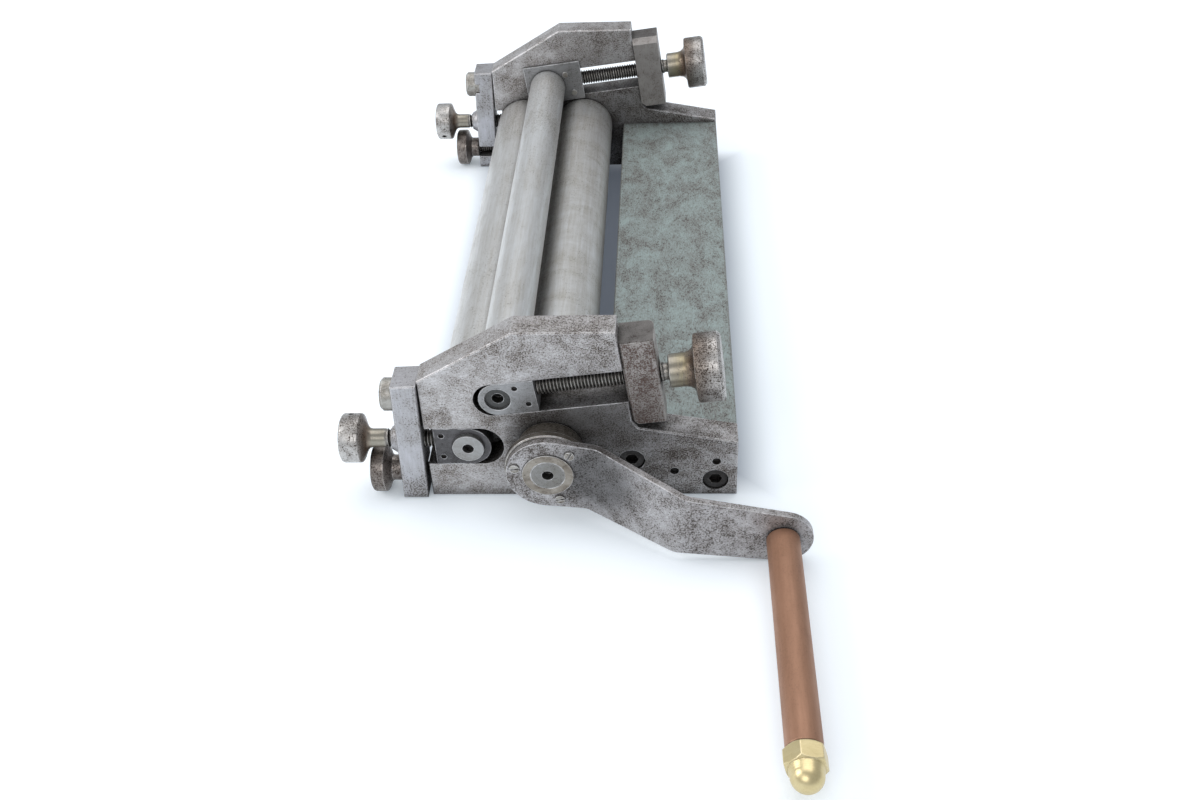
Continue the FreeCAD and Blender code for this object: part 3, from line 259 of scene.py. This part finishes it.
def grime_and_shade_effect():
    """Oil and filings in corners, slots and round everything that turns, found by ambient
    occlusion, so also painted shade.
    """
    group, given, put = effect("grime_and_shade", {"Vector": (0, 0, 0), "Reach": 0.006, "Amount": 0.8},
                               {"Mask": "Float"})
    hollow = add(group, "AmbientOcclusion", samples=8)
    shut = remap(group, 0.80, 0.30, curve="LINEAR")
    crumbs = add(group, "TexNoise", {"Scale": 0.8, "Detail": 5, "Roughness": 0.75})
    clotted = remap(group, 0.30, 0.62, 0.55, 1.25, "LINEAR")
    gathered = add(group, "Math", operation="MULTIPLY")
    mask = add(group, "Math", operation="MULTIPLY", use_clamp=True)
    join(group, (given, "Reach", hollow, "Distance"), (hollow, "AO", shut, "Value"),
         (given, "Vector", crumbs, "Vector"), (crumbs, 0, clotted, "Value"), (shut, 0, gathered, 0),
         (clotted, 0, gathered, 1), (gathered, 0, mask, 0), (given, "Amount", mask, 1),
         (mask, 0, put, "Mask"))
    return group


PATINA = patina_effect()
EDGE_WEAR_AND_HIGHLIGHT = edge_effect()
GRIME_AND_SHADE = grime_and_shade_effect()
# A near black laid where ambient occlusion finds hollows: old oil there, and painted shade.
OLD_OIL_AND_SHADE, OIL_ROUGHER = (0.022, 0.019, 0.016, 1), 0.25
MM_PER_METRE = 1000.0


def worked_metal(name, edge=(0.80, 0.79, 0.80, 1), edge_radius=0.0006, wear=0.9, relief=0.00003,
                 metallic=0.75, reach=0.006, dirt=0.8, **tones):
    """A metal dressed with patina, worn edges with a painted highlight, and grime with painted
    shade in its hollows. A tone that is a function takes the material's tree and its millimetre
    vector, and returns the node and output for that input."""
    material = bpy.data.materials.new(name)
    material.use_nodes = True
    tree = material.node_tree
    shader = tree.nodes["Principled BSDF"]
    shader.inputs["Metallic"].default_value = metallic
    at = add(tree, "TexCoord")
    millimetres = add(tree, "VectorMath", {"Scale": MM_PER_METRE}, operation="SCALE")
    patina = add(tree, "Group", node_tree=PATINA)
    rules = {key: value for key, value in tones.items() if callable(value)}
    for key in tones.keys() - rules.keys():
        patina.inputs[key.replace("_", " ")].default_value = tones[key]
    edge_mask = add(tree, "Group", {"Radius": edge_radius, "Wear and Highlight": wear}, node_tree=EDGE_WEAR_AND_HIGHLIGHT)
    grime_and_shade = add(tree, "Group", {"Reach": reach, "Amount": dirt}, node_tree=GRIME_AND_SHADE)
    bright = add(tree, "Mix", {MIX_B: edge}, data_type="RGBA")
    dirty_and_shaded = add(tree, "Mix", {MIX_B: OLD_OIL_AND_SHADE}, data_type="RGBA")
    rough = add(tree, "Math", {1: OIL_ROUGHER}, operation="MULTIPLY_ADD", use_clamp=True)
    bump = add(tree, "Bump", {"Strength": 1.0, "Distance": relief})
    join(tree, (at, "Object", millimetres, 0), (millimetres, 0, patina, "Vector"),
         (millimetres, 0, edge_mask, "Vector"), (millimetres, 0, grime_and_shade, "Vector"),
         (edge_mask, "Mask", bright, 0), (patina, "Color", bright, MIX_A), (grime_and_shade, "Mask", dirty_and_shaded, 0),
         (bright, MIXED, dirty_and_shaded, MIX_A), (dirty_and_shaded, MIXED, shader, "Base Color"),
         (grime_and_shade, "Mask", rough, 0), (patina, "Roughness", rough, 2),
         (rough, 0, shader, "Roughness"),
         (patina, "Height", bump, "Height"), (edge_mask, "Normal", bump, "Normal"),
         (bump, 0, shader, "Normal"))
    for key, rule in rules.items():
        source, out = rule(tree, millimetres)
        join(tree, (source, out, patina, key))
    return material


def along(axis, start, end, low, high, size=False):
    """A value that goes from low to high as the place along an axis goes from start to end, in
    millimetres. With size, the distance from the origin counts, whichever side."""
    def rule(tree, millimetres):
        apart = add(tree, "SeparateXYZ")
        spread = remap(tree, start, end, low, high)
        join(tree, (millimetres, 0, apart, 0))
        if size:
            distance = add(tree, "Math", operation="ABSOLUTE")
            join(tree, (apart, axis, distance, 0), (distance, 0, spread, "Value"))
        else:
            join(tree, (apart, axis, spread, "Value"))
        return spread, 0
    return rule


def around(x, z, start, end, low, high):
    """The same, by the distance from a line along y through that x and z."""
    def rule(tree, millimetres):
        flat = add(tree, "VectorMath", {1: (1, 0, 1)}, operation="MULTIPLY")
        distance = add(tree, "VectorMath", {1: (x, 0, z)}, operation="DISTANCE")
        spread = remap(tree, start, end, low, high)
        join(tree, (millimetres, 0, flat, 0), (flat, 0, distance, 0),
             (distance, "Value", spread, "Value"))
        return spread, 0
    return rule


def shade_facing_up(high, elsewhere=None):
    """Painted shade on faces that look up: high there and 1 on the others, times the rule elsewhere
    if there is one.
    """
    def rule(tree, millimetres):
        face = add(tree, "NewGeometry")
        apart = add(tree, "SeparateXYZ")
        top_shade = remap(tree, 0.92, 0.97, 1.0, high, "LINEAR")
        join(tree, (face, "Normal", apart, 0), (apart, "Z", top_shade, "Value"))
        if elsewhere is None:
            return top_shade, 0
        source, out = elsewhere(tree, millimetres)
        both = add(tree, "Math", operation="MULTIPLY")
        join(tree, (source, out, both, 0), (top_shade, 0, both, 1))
        return both, 0
    return rule


def dress(node, material):
    """Gives a piece from the frame its finish in every slot."""
    for slot in frame["nodes"][node].material_slots:
        slot.material = material


plate_steel = worked_metal(
    "filed_plate", Light=(0.54, 0.53, 0.54, 1), Dark=(0.20, 0.175, 0.155, 1),
    Rust=(0.05, 0.036, 0.028, 1), Blotch=(12, 12, 10), Mottle=0.5, Tool_Marks=(0.9, 0.9, 0.5),
    Marks=0.6, Speck=(0.6, 0.6, 0.6), Speckle=0.85, Rough=0.42,
    Bias=along("X", -100, 10, low=0.015, high=0.06),
    Shade=shade_facing_up(0.86, around(x=-36, z=30, start=20, end=52, low=0.72, high=1.17)), reach=0.012,
    dirt=1.0)
for end in ("near", "far"):
    dress(f"{end}_end_plate", plate_steel)

# The bed bar. A heavy bar of bright steel between the plates, painted grey-green long ago and
# since scuffed through to brown steel along its edges and where work has been laid on it.
bed_enamel = worked_metal(
    "worn_enamel", metallic=0.1, edge=(0.20, 0.175, 0.16, 1), edge_radius=0.0009, wear=0.9,
    Light=(0.27, 0.33, 0.32, 1), Dark=(0.165, 0.165, 0.155, 1), Rust=(0.065, 0.055, 0.048, 1),
    Blotch=(9, 17, 9), Mottle=0.8, Tool_Marks=(0.6, 2.0, 3), Marks=0.7, Speck=(0.6, 1.1, 0.6),
    Speckle=0.85, Rough=0.48, Bias=0.02, reach=0.010, dirt=0.8)
dress("bed_bar", bed_enamel)

# The screws and dowels that hold the plates to the bed. Black-oxide socket head screws sunk in
# counterbores, and hardened dowels beside them, a little below the face.
black_oxide = worked_metal(
    "black_oxide", edge=(0.30, 0.28, 0.26, 1), edge_radius=0.0003, Light=(0.075, 0.07, 0.068, 1),
    Dark=(0.022, 0.02, 0.019, 1), Blotch=(4, 4, 4), Mottle=0.8, Marks=0.2, Speckle=0.3, Rough=0.4,
    reach=0.003, dirt=0.8)
for end in ("near", "far"):
    dress(f"{end}_bed_screws", black_oxide)
    dress(f"{end}_dowel_pins", black_oxide)

# The keeper bars that close the front slots, with their cap screws. Cleaner and greyer steel than
# the plates, filed lengthwise; the cap screws have lost their black to light rust.
# The keepers' top faces are painted darker: painted shade.
keeper_steel = worked_metal(
    "keeper_steel", Light=(0.54, 0.54, 0.58, 1), Dark=(0.28, 0.265, 0.25, 1),
    Rust=(0.08, 0.06, 0.045, 1), Blotch=(12, 12, 16), Mottle=0.5, Tool_Marks=(0.8, 0.8, 10),
    Marks=0.3, Speck=(0.8, 0.8, 0.8), Speckle=0.75, Rough=0.45,
    Bias=along("Z", 4, 22, low=0.06, high=0.0), Shade=shade_facing_up(0.84), dirt=0.9)
cap_screw_steel = worked_metal(
    "cap_screw_steel", Light=(0.46, 0.45, 0.42, 1), Dark=(0.20, 0.175, 0.15, 1),
    Rust=(0.06, 0.045, 0.035, 1), Blotch=(5, 5, 5), Mottle=0.8, Marks=0.2, Speck=(0.7, 0.7, 0.7),
    Speckle=0.7, Rough=0.42, reach=0.003, dirt=0.8)
for end in ("near", "far"):
    dress(f"{end}_keeper", keeper_steel)
    dress(f"{end}_keeper_screw", cap_screw_steel)

# The yoke blocks across the sloping slots. Sawn steel, plain dark grey, with a crust of brown rust
# on the faces that look away from the rolls.
# The yokes' top faces are painted much darker: painted shade.
yoke_steel = worked_metal(
    "sawn_yoke", Light=(0.31, 0.29, 0.275, 1), Dark=(0.16, 0.145, 0.138, 1),
    Rust=(0.080, 0.046, 0.036, 1), Blotch=(7, 7, 7), Mottle=0.7, Tool_Marks=(0.5, 0.5, 3),
    Marks=0.4, Speck=(0.7, 0.7, 0.7), Speckle=0.8, Rough=0.48,
    Bias=along("Y", 150.5, 152, low=-0.03, high=0.085, size=True),
    Shade=shade_facing_up(0.45, along("Y", -152, 152, low=1.35, high=1.25)), dirt=0.9,
    edge=(0.45, 0.43, 0.41, 1))
for end in ("near", "far"):
    dress(f"{end}_yoke", yoke_steel)

# The slide blocks, their stop pins and the thin guide plates screwed inside them. Milled steel,
# cleaner than the plates on the top blocks; the front blocks are painted near black, a painted
# shade for their place in the front slots.
block_steel = worked_metal(
    "milled_block", Light=(0.37, 0.37, 0.38, 1), Dark=(0.21, 0.205, 0.20, 1),
    Rust=(0.07, 0.055, 0.045, 1), Blotch=(6, 6, 6), Mottle=0.5, Tool_Marks=(4, 1, 0.35), Marks=0.3,
    Speck=(0.6, 0.6, 0.6), Speckle=0.6, Rough=0.42, reach=0.003, dirt=0.75)
painted_shade_block = worked_metal(
    "painted_shade_block", Light=(0.135, 0.13, 0.135, 1), Dark=(0.055, 0.052, 0.052, 1),
    Rust=(0.03, 0.025, 0.02, 1), Blotch=(5, 5, 5), Mottle=0.6, Tool_Marks=(4, 1, 0.35), Marks=0.3,
    Speck=(0.6, 0.6, 0.6), Speckle=0.6, Rough=0.4, reach=0.003, dirt=0.75)
for end in ("near", "far"):
    dress(f"{end}_top_block", block_steel)
    dress(f"{end}_guide_plate", block_steel)
    dress(f"{end}_guide_screws", cap_screw_steel)
    dress(f"{end}_front_block", painted_shade_block)
    for kind in ("front", "top"):
        dress(f"{end}_{kind}_stop_pins", black_oxide)

# The three rolls. Ground bright, now satin, with faint warm stains along their length and a
# scatter of dark pits. Their journals, from the plates' inner faces outward, are painted dark: a
# painted shade in the bearing holes.
JOURNAL_START, JOURNAL_DARK = 139, 141


def roll_finish(name, journal_shade, **changes):
    """Ground steel, its journals shaded by that much. Changes go in place of the common tones."""
    values = dict(
        Light=(0.64, 0.645, 0.65, 1), Dark=(0.42, 0.40, 0.37, 1), Rust=(0.10, 0.08, 0.065, 1),
        Blotch=(16, 34, 16), Mottle=0.45, Tool_Marks=(1.4, 26, 1.4), Marks=0.45,
        Speck=(0.6, 1.0, 0.6), Speckle=0.5, Rough=0.40, metallic=0.72, reach=0.009, dirt=0.8,
        relief=0.000008, Shade=along("Y", JOURNAL_START, JOURNAL_DARK, 1.0, journal_shade, size=True))
    values.update(changes)
    return worked_metal(name, **values)


dress("front_roll", roll_finish("front_roll_steel", journal_shade=0.60,
                                Bias=along("Y", 90, JOURNAL_START, low=-0.03, high=0.02)))
dress("drive_roll", roll_finish("drive_roll_steel", journal_shade=0.45, Dark=(0.39, 0.365, 0.325, 1),
                                Blotch=(26, 12, 26),
                                Bias=along("Y", 20, JOURNAL_START, low=-0.04, high=0.02)))
dress("top_roll", roll_finish("top_roll_steel", journal_shade=0.13, Light=(0.64, 0.65, 0.66, 1),
                              Bias=along("Y", -20, 90, low=-0.05, high=0.03)))
dress("drive_key", black_oxide)

# The thumbscrews, turned in one piece from bar, with real threads: pitted knobs with painted light
# on their outer faces, polished necks, oily threads with painted shade in their roots. The front
# pair has a hole in the rim for a tommy bar, and the lower pair is browner.
THREAD_PITCH = 1.411
THREAD_DEEP = 0.9
CLAMP_PITCH = 1.27
CLAMP_THREAD_DEEP = 0.7
THREAD_STEPS = 10                   # rings to each turn of a thread
FLANK_RISE, CREST_FLAT = 1.25, 0.12
TURNED_SIDES, DRILL_SIDES = 56, 24
SHARP_EDGE = math.radians(38)
TOMMY_DIA, TOMMY_DEEP = 0.0026, 0.005


def groove_depth(turn):
    """How far down the thread's flank is, from 0 on the crest to 1 at the root, over one turn."""
    phase = turn % 1.0
    return min(1.0, max(0.0, FLANK_RISE * (1 - abs(2 * phase - 1)) - CREST_FLAT))


def turned_piece(name, profile, pitch, deep, thread, place, axis):
    """A lathe-turned mesh about an axis. profile holds (station, radius) in millimetres along the
    axis, and between the two stations in thread it has a helical thread of that pitch and depth."""
    stations = []
    for (x_a, r_a), (x_b, r_b) in zip(profile, profile[1:]):
        threaded = r_a == r_b and thread[0] <= x_a and x_b <= thread[1]
        steps = max(1, round((x_b - x_a) / pitch * THREAD_STEPS)) if threaded else 1
        stations += [(x_a + (x_b - x_a) * i / steps, r_a + (r_b - r_a) * i / steps, threaded)
                     for i in range(steps)]
    stations.append((*profile[-1], False))
    lie = Vector((1, 0, 0)).rotation_difference(Vector(axis)).to_matrix().to_4x4()
    matrix = Matrix.Translation(place) @ lie
    mesh = bmesh.new()
    rings = []
    for x, radius, threaded in stations:
        run_out = min(1.0, (x - thread[0]) / pitch, (thread[1] - x) / pitch) if threaded else 0.0
        ring = []
        for side in range(TURNED_SIDES):
            turn = side / TURNED_SIDES
            r = radius - deep * run_out * groove_depth(x / pitch - turn)
            angle = 2 * math.pi * turn
            spot = Vector((x, r * math.cos(angle), r * math.sin(angle))) / MM_PER_METRE
            ring.append(mesh.verts.new(matrix @ spot))
        rings.append(ring)
    for first, second in zip(rings, rings[1:]):
        for side in range(TURNED_SIDES):
            after = (side + 1) % TURNED_SIDES
            mesh.faces.new((first[side], first[after], second[after], second[side]))
    mesh.faces.new(rings[0][::-1])
    mesh.faces.new(rings[-1])
    bmesh.ops.recalc_face_normals(mesh, faces=mesh.faces)
    data = bpy.data.meshes.new(name)
    mesh.to_mesh(data)
    mesh.free()
    piece = bpy.data.objects.new(name, data)
    scene.collection.objects.link(piece)
    return piece


def drill(piece, place, direction, dia, deep):
    """Sinks a round hole of that diameter and depth, in metres, into the piece."""
    drill_mesh = bmesh.new()
    lie = Vector((0, 0, 1)).rotation_difference(Vector(direction)).to_matrix().to_4x4()
    bmesh.ops.create_cone(drill_mesh, cap_ends=True, segments=DRILL_SIDES, radius1=dia / 2,
                          radius2=dia / 2, depth=2 * deep, matrix=Matrix.Translation(place) @ lie)
    data = bpy.data.meshes.new("drill")
    drill_mesh.to_mesh(data)
    drill_mesh.free()
    bit = bpy.data.objects.new("drill", data)
    scene.collection.objects.link(bit)
    hole = piece.modifiers.new("hole", "BOOLEAN")
    hole.operation, hole.object, hole.solver = "DIFFERENCE", bit, "EXACT"
    bpy.context.view_layer.update()
    seen = piece.evaluated_get(bpy.context.evaluated_depsgraph_get())
    drilled = bpy.data.meshes.new_from_object(seen)
    piece.modifiers.clear()
    piece.data = drilled
    bpy.data.objects.remove(bit)


def knob_rim(left, back, radius, back_ease):
    """The outline of a knob from its outer face to its back, with the rim's corners eased."""
    return [(-left, radius - 1.2), (0.5 - left, radius - 0.35), (1.2 - left, radius),
            (back - back_ease, radius), (back, radius - 0.5)]


def bands(stops):
    """The colour along the screw's length, from (place in millimetres, colour) stops along x."""
    start, end = stops[0][0], stops[-1][0]

    def rule(tree, millimetres):
        apart = add(tree, "SeparateXYZ")
        spread = remap(tree, start, end, curve="LINEAR")
        ramp = add(tree, "ValToRGB")
        elements = ramp.color_ramp.elements
        while len(elements) < len(stops):
            elements.new(0.5)
        for element, (place, colour) in zip(elements, stops):
            element.position = (place - start) / (end - start)
            element.color = (*colour, 1)
        join(tree, (millimetres, 0, apart, 0), (apart, "X", spread, "Value"), (spread, 0, ramp, 0))
        return ramp, 0
    return rule


KNOB_GREY = (0.60, 0.585, 0.57)
# Painted light: the knobs' outer faces are coloured lighter than the rest of the knob.
KNOB_FACE_PAINTED_LIGHT = (0.74, 0.73, 0.72)
NECK_BRIGHT = (0.38, 0.355, 0.29)
NECK_STRAW = (0.42, 0.36, 0.21)
FLARE_BROWN = (0.20, 0.12, 0.07)
KNOB_BACK = (0.24, 0.21, 0.19)
THREAD_STEEL = (0.50, 0.48, 0.45)
screw_axes = {joint["name"]: (Vector(joint["pos_m"]), Vector(joint["axis"]))
              for joint in frame["joints"] if joint["name"].endswith("screw_turn")}
knob_tones = dict(Dark=(0.20, 0.175, 0.155, 1), Rust=(0.045, 0.03, 0.024, 1), Blotch=(7, 7, 7),
                  Mottle=0.45, Tool_Marks=(0.3, 5, 5), Marks=0.35, Speck=(0.6, 0.6, 0.6),
                  Speckle=0.9, Rough=0.33, reach=0.0024, dirt=1.6, edge_radius=0.0004, wear=0.9,
                  metallic=0.85, edge=(0.75, 0.73, 0.71, 1))

THREAD = 4.0
HEAD_START, HEAD_END, BLOCK_FACE, THREAD_END = 6.8, 10.9, 16.0, 67.8
COLLAR_START, KNOB_FACE, KNOB_END = 70.0, 80.6, 91.6
HEAD, NECK, UNDERCUT, COLLAR, TOP_KNOB = 3.3, 2.4, 3.5, 6.9, 14.1
top_profile = [(HEAD_START, HEAD), (HEAD_END, HEAD), (HEAD_END, NECK), (BLOCK_FACE, NECK),
               (BLOCK_FACE, THREAD), (THREAD_END, THREAD), (THREAD_END, UNDERCUT),
               (COLLAR_START, UNDERCUT), (COLLAR_START, COLLAR - 0.4), (COLLAR_START + 0.4, COLLAR),
               (KNOB_FACE - 4.2, COLLAR), (KNOB_FACE - 2.2, COLLAR + 0.5),
               (KNOB_FACE - 0.9, COLLAR + 1.5), (KNOB_FACE, COLLAR + 3.4),
               (KNOB_FACE, TOP_KNOB - 0.9), (KNOB_FACE + 0.25, TOP_KNOB - 0.3),
               (KNOB_FACE + 0.9, TOP_KNOB),
               (KNOB_END - 1.3, TOP_KNOB), (KNOB_END, TOP_KNOB - 1.2)]
top_finish = worked_metal(
    "top_thumbscrew_steel", **knob_tones, Bias=along("X", -2, 9, low=-0.15, high=0.05),
    Light=bands([(-60, THREAD_STEEL), (-3, THREAD_STEEL), (-0.5, NECK_BRIGHT), (4, NECK_STRAW),
                 (7.5, FLARE_BROWN), (12.5, KNOB_BACK), (16, KNOB_GREY), (21, KNOB_FACE_PAINTED_LIGHT)]))

FRONT_KNOB_LEFT, FRONT_KNOB_THICK, FRONT_KNOB = 36.1, 8.7, 10.5
FRONT_THREAD = (-17.6, 8.3)
LIP, LIP_END = 4.8, 9.3
knob_back = FRONT_KNOB_THICK - FRONT_KNOB_LEFT
front_profile = [*knob_rim(FRONT_KNOB_LEFT, knob_back, FRONT_KNOB, 0.6), (knob_back + 1.1, 7.2),
                 (knob_back + 2.1, 5.2), (knob_back + 3.0, 4.3), (knob_back + 4.2, THREAD),
                 (FRONT_THREAD[0], THREAD), (FRONT_THREAD[1], THREAD), (FRONT_THREAD[1], LIP),
                 (LIP_END, LIP)]
front_finish = worked_metal(
    "front_thumbscrew_steel", **knob_tones, Bias=along("X", -130, -125, low=0.03, high=-0.1),
    Light=bands([(-140, KNOB_FACE_PAINTED_LIGHT), (-131, KNOB_GREY), (-128.5, FLARE_BROWN), (-126, NECK_BRIGHT),
                 (-121, NECK_BRIGHT), (-119.5, THREAD_STEEL)]))

CLAMP_KNOB_LEFT, CLAMP_KNOB_THICK, CLAMP_KNOB = 25.2, 6.2, 10.3
CLAMP_THREAD = (-12.7, 15.0)
CLAMP_COLLAR, CLAMP_STEM = 5.5, 3.0
clamp_back = CLAMP_KNOB_THICK - CLAMP_KNOB_LEFT
clamp_profile = [*knob_rim(CLAMP_KNOB_LEFT, clamp_back, CLAMP_KNOB, 0.5), (clamp_back + 1.5, 6.3),
                 (clamp_back + 2.4, CLAMP_COLLAR), (CLAMP_THREAD[0], CLAMP_COLLAR),
                 (CLAMP_THREAD[0], CLAMP_STEM), (CLAMP_THREAD[1], CLAMP_STEM)]
clamp_tones = dict(knob_tones, Light=(0.33, 0.29, 0.265, 1), Dark=(0.10, 0.085, 0.075, 1),
                   Bias=0.05)
clamp_finish = worked_metal("clamp_thumbscrew_steel", **clamp_tones)

TOMMY_HOLES = {"near": -24, "far": 122}
JOINT_STATION = {"front": -8.0, "top": 0.0, "clamp": -18.0}
for end in ("near", "far"):
    for kind, profile, thread, pitch, deep, finish in (
            ("front", front_profile, FRONT_THREAD, THREAD_PITCH, THREAD_DEEP, front_finish),
            ("top", top_profile, (BLOCK_FACE, THREAD_END), THREAD_PITCH, THREAD_DEEP, top_finish),
            ("clamp", clamp_profile, CLAMP_THREAD, CLAMP_PITCH, CLAMP_THREAD_DEEP, clamp_finish)):
        place, axis = screw_axes[f"{end}_{kind}_screw_turn"]
        origin = place - axis * JOINT_STATION[kind] / MM_PER_METRE
        screw = turned_piece(f"{end}_{kind}_screw", profile, pitch, deep, thread, origin, axis)
        if kind == "front":
            lean = math.radians(TOMMY_HOLES[end])
            outwards = Vector((0, -math.sin(lean), math.cos(lean)))
            middle = origin + axis * (FRONT_KNOB_THICK / 2 - FRONT_KNOB_LEFT) / MM_PER_METRE
            rim = middle + outwards * FRONT_KNOB / MM_PER_METRE
            drill(screw, rim, outwards, TOMMY_DIA, TOMMY_DEEP)
        screw.data.shade_smooth()
        screw.data.set_sharp_from_angle(angle=SHARP_EDGE)
        screw.data.materials.clear()
        screw.data.materials.append(finish)
        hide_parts(f"{end}_{kind}_thumbscrew")
        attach(screw, f"{end}_{kind}_screw")

# The crank. A flanged hub turned from bar on the drive roll's journal, browned by oil, carries the
# cranked flat arm on three slotted screws.
hub_steel = worked_metal(
    "turned_hub", Light=(0.31, 0.285, 0.25, 1), Dark=(0.12, 0.098, 0.078, 1),
    Rust=(0.06, 0.045, 0.03, 1), Blotch=(7, 7, 7), Mottle=0.8, Tool_Marks=(12, 0.3, 12), Marks=0.5,
    Speck=(0.8, 0.5, 0.8), Speckle=0.8, Rough=0.32, reach=0.005, dirt=0.9,
    Bias=along("Y", -166, -153, low=-0.03, high=0.07),
    Shade=along("Y", -167.5, -166.5, low=1.15, high=0.72))
dress("crank_hub", hub_steel)
dress("arm_screws", cap_screw_steel)
arm_steel = worked_metal(
    "arm_steel", Light=(0.50, 0.49, 0.50, 1), Dark=(0.20, 0.18, 0.17, 1),
    Rust=(0.06, 0.048, 0.04, 1), Blotch=(9, 9, 9), Mottle=0.5, Tool_Marks=(0.8, 0.8, 0.5),
    Marks=0.6, Speck=(0.6, 0.6, 0.6), Speckle=0.85, Rough=0.42,
    Bias=along("X", -60, 0, low=0.045, high=0.03),
    Shade=around(x=-31, z=27, start=8, end=24, low=0.36, high=1.08), reach=0.005, dirt=0.9)
dress("crank_arm", arm_steel)

# The handle. A steel stud in a length of copper tube that turns in the hand, closed by a brass
# dome nut.
copper = worked_metal(
    "dull_copper", edge=(0.50, 0.29, 0.19, 1), Light=(0.36, 0.195, 0.125, 1),
    Dark=(0.25, 0.13, 0.078, 1), Rust=(0.12, 0.07, 0.055, 1), Blotch=(10, 30, 10), Mottle=0.6,
    Tool_Marks=(3, 50, 3), Marks=0.4, Speck=(0.8, 0.8, 0.8), Speckle=0.15, Rough=0.5,
    relief=0.000006, metallic=0.55, dirt=0.4, reach=0.003)
dress("grip_tube", copper)
dress("handle_stud", cap_screw_steel)
brass = worked_metal(
    "polished_brass", edge=(0.86, 0.75, 0.50, 1), Light=(0.70, 0.59, 0.35, 1),
    Dark=(0.54, 0.44, 0.23, 1), Rust=(0.30, 0.20, 0.09, 1), Blotch=(8, 8, 8), Mottle=0.4,
    Tool_Marks=(6, 0.35, 6), Marks=0.3, Speck=(0.6, 0.6, 0.6), Speckle=0.12, Rough=0.34,
    relief=0.000006, metallic=1.0, dirt=0.3, reach=0.002)
dress("dome_nut", brass)
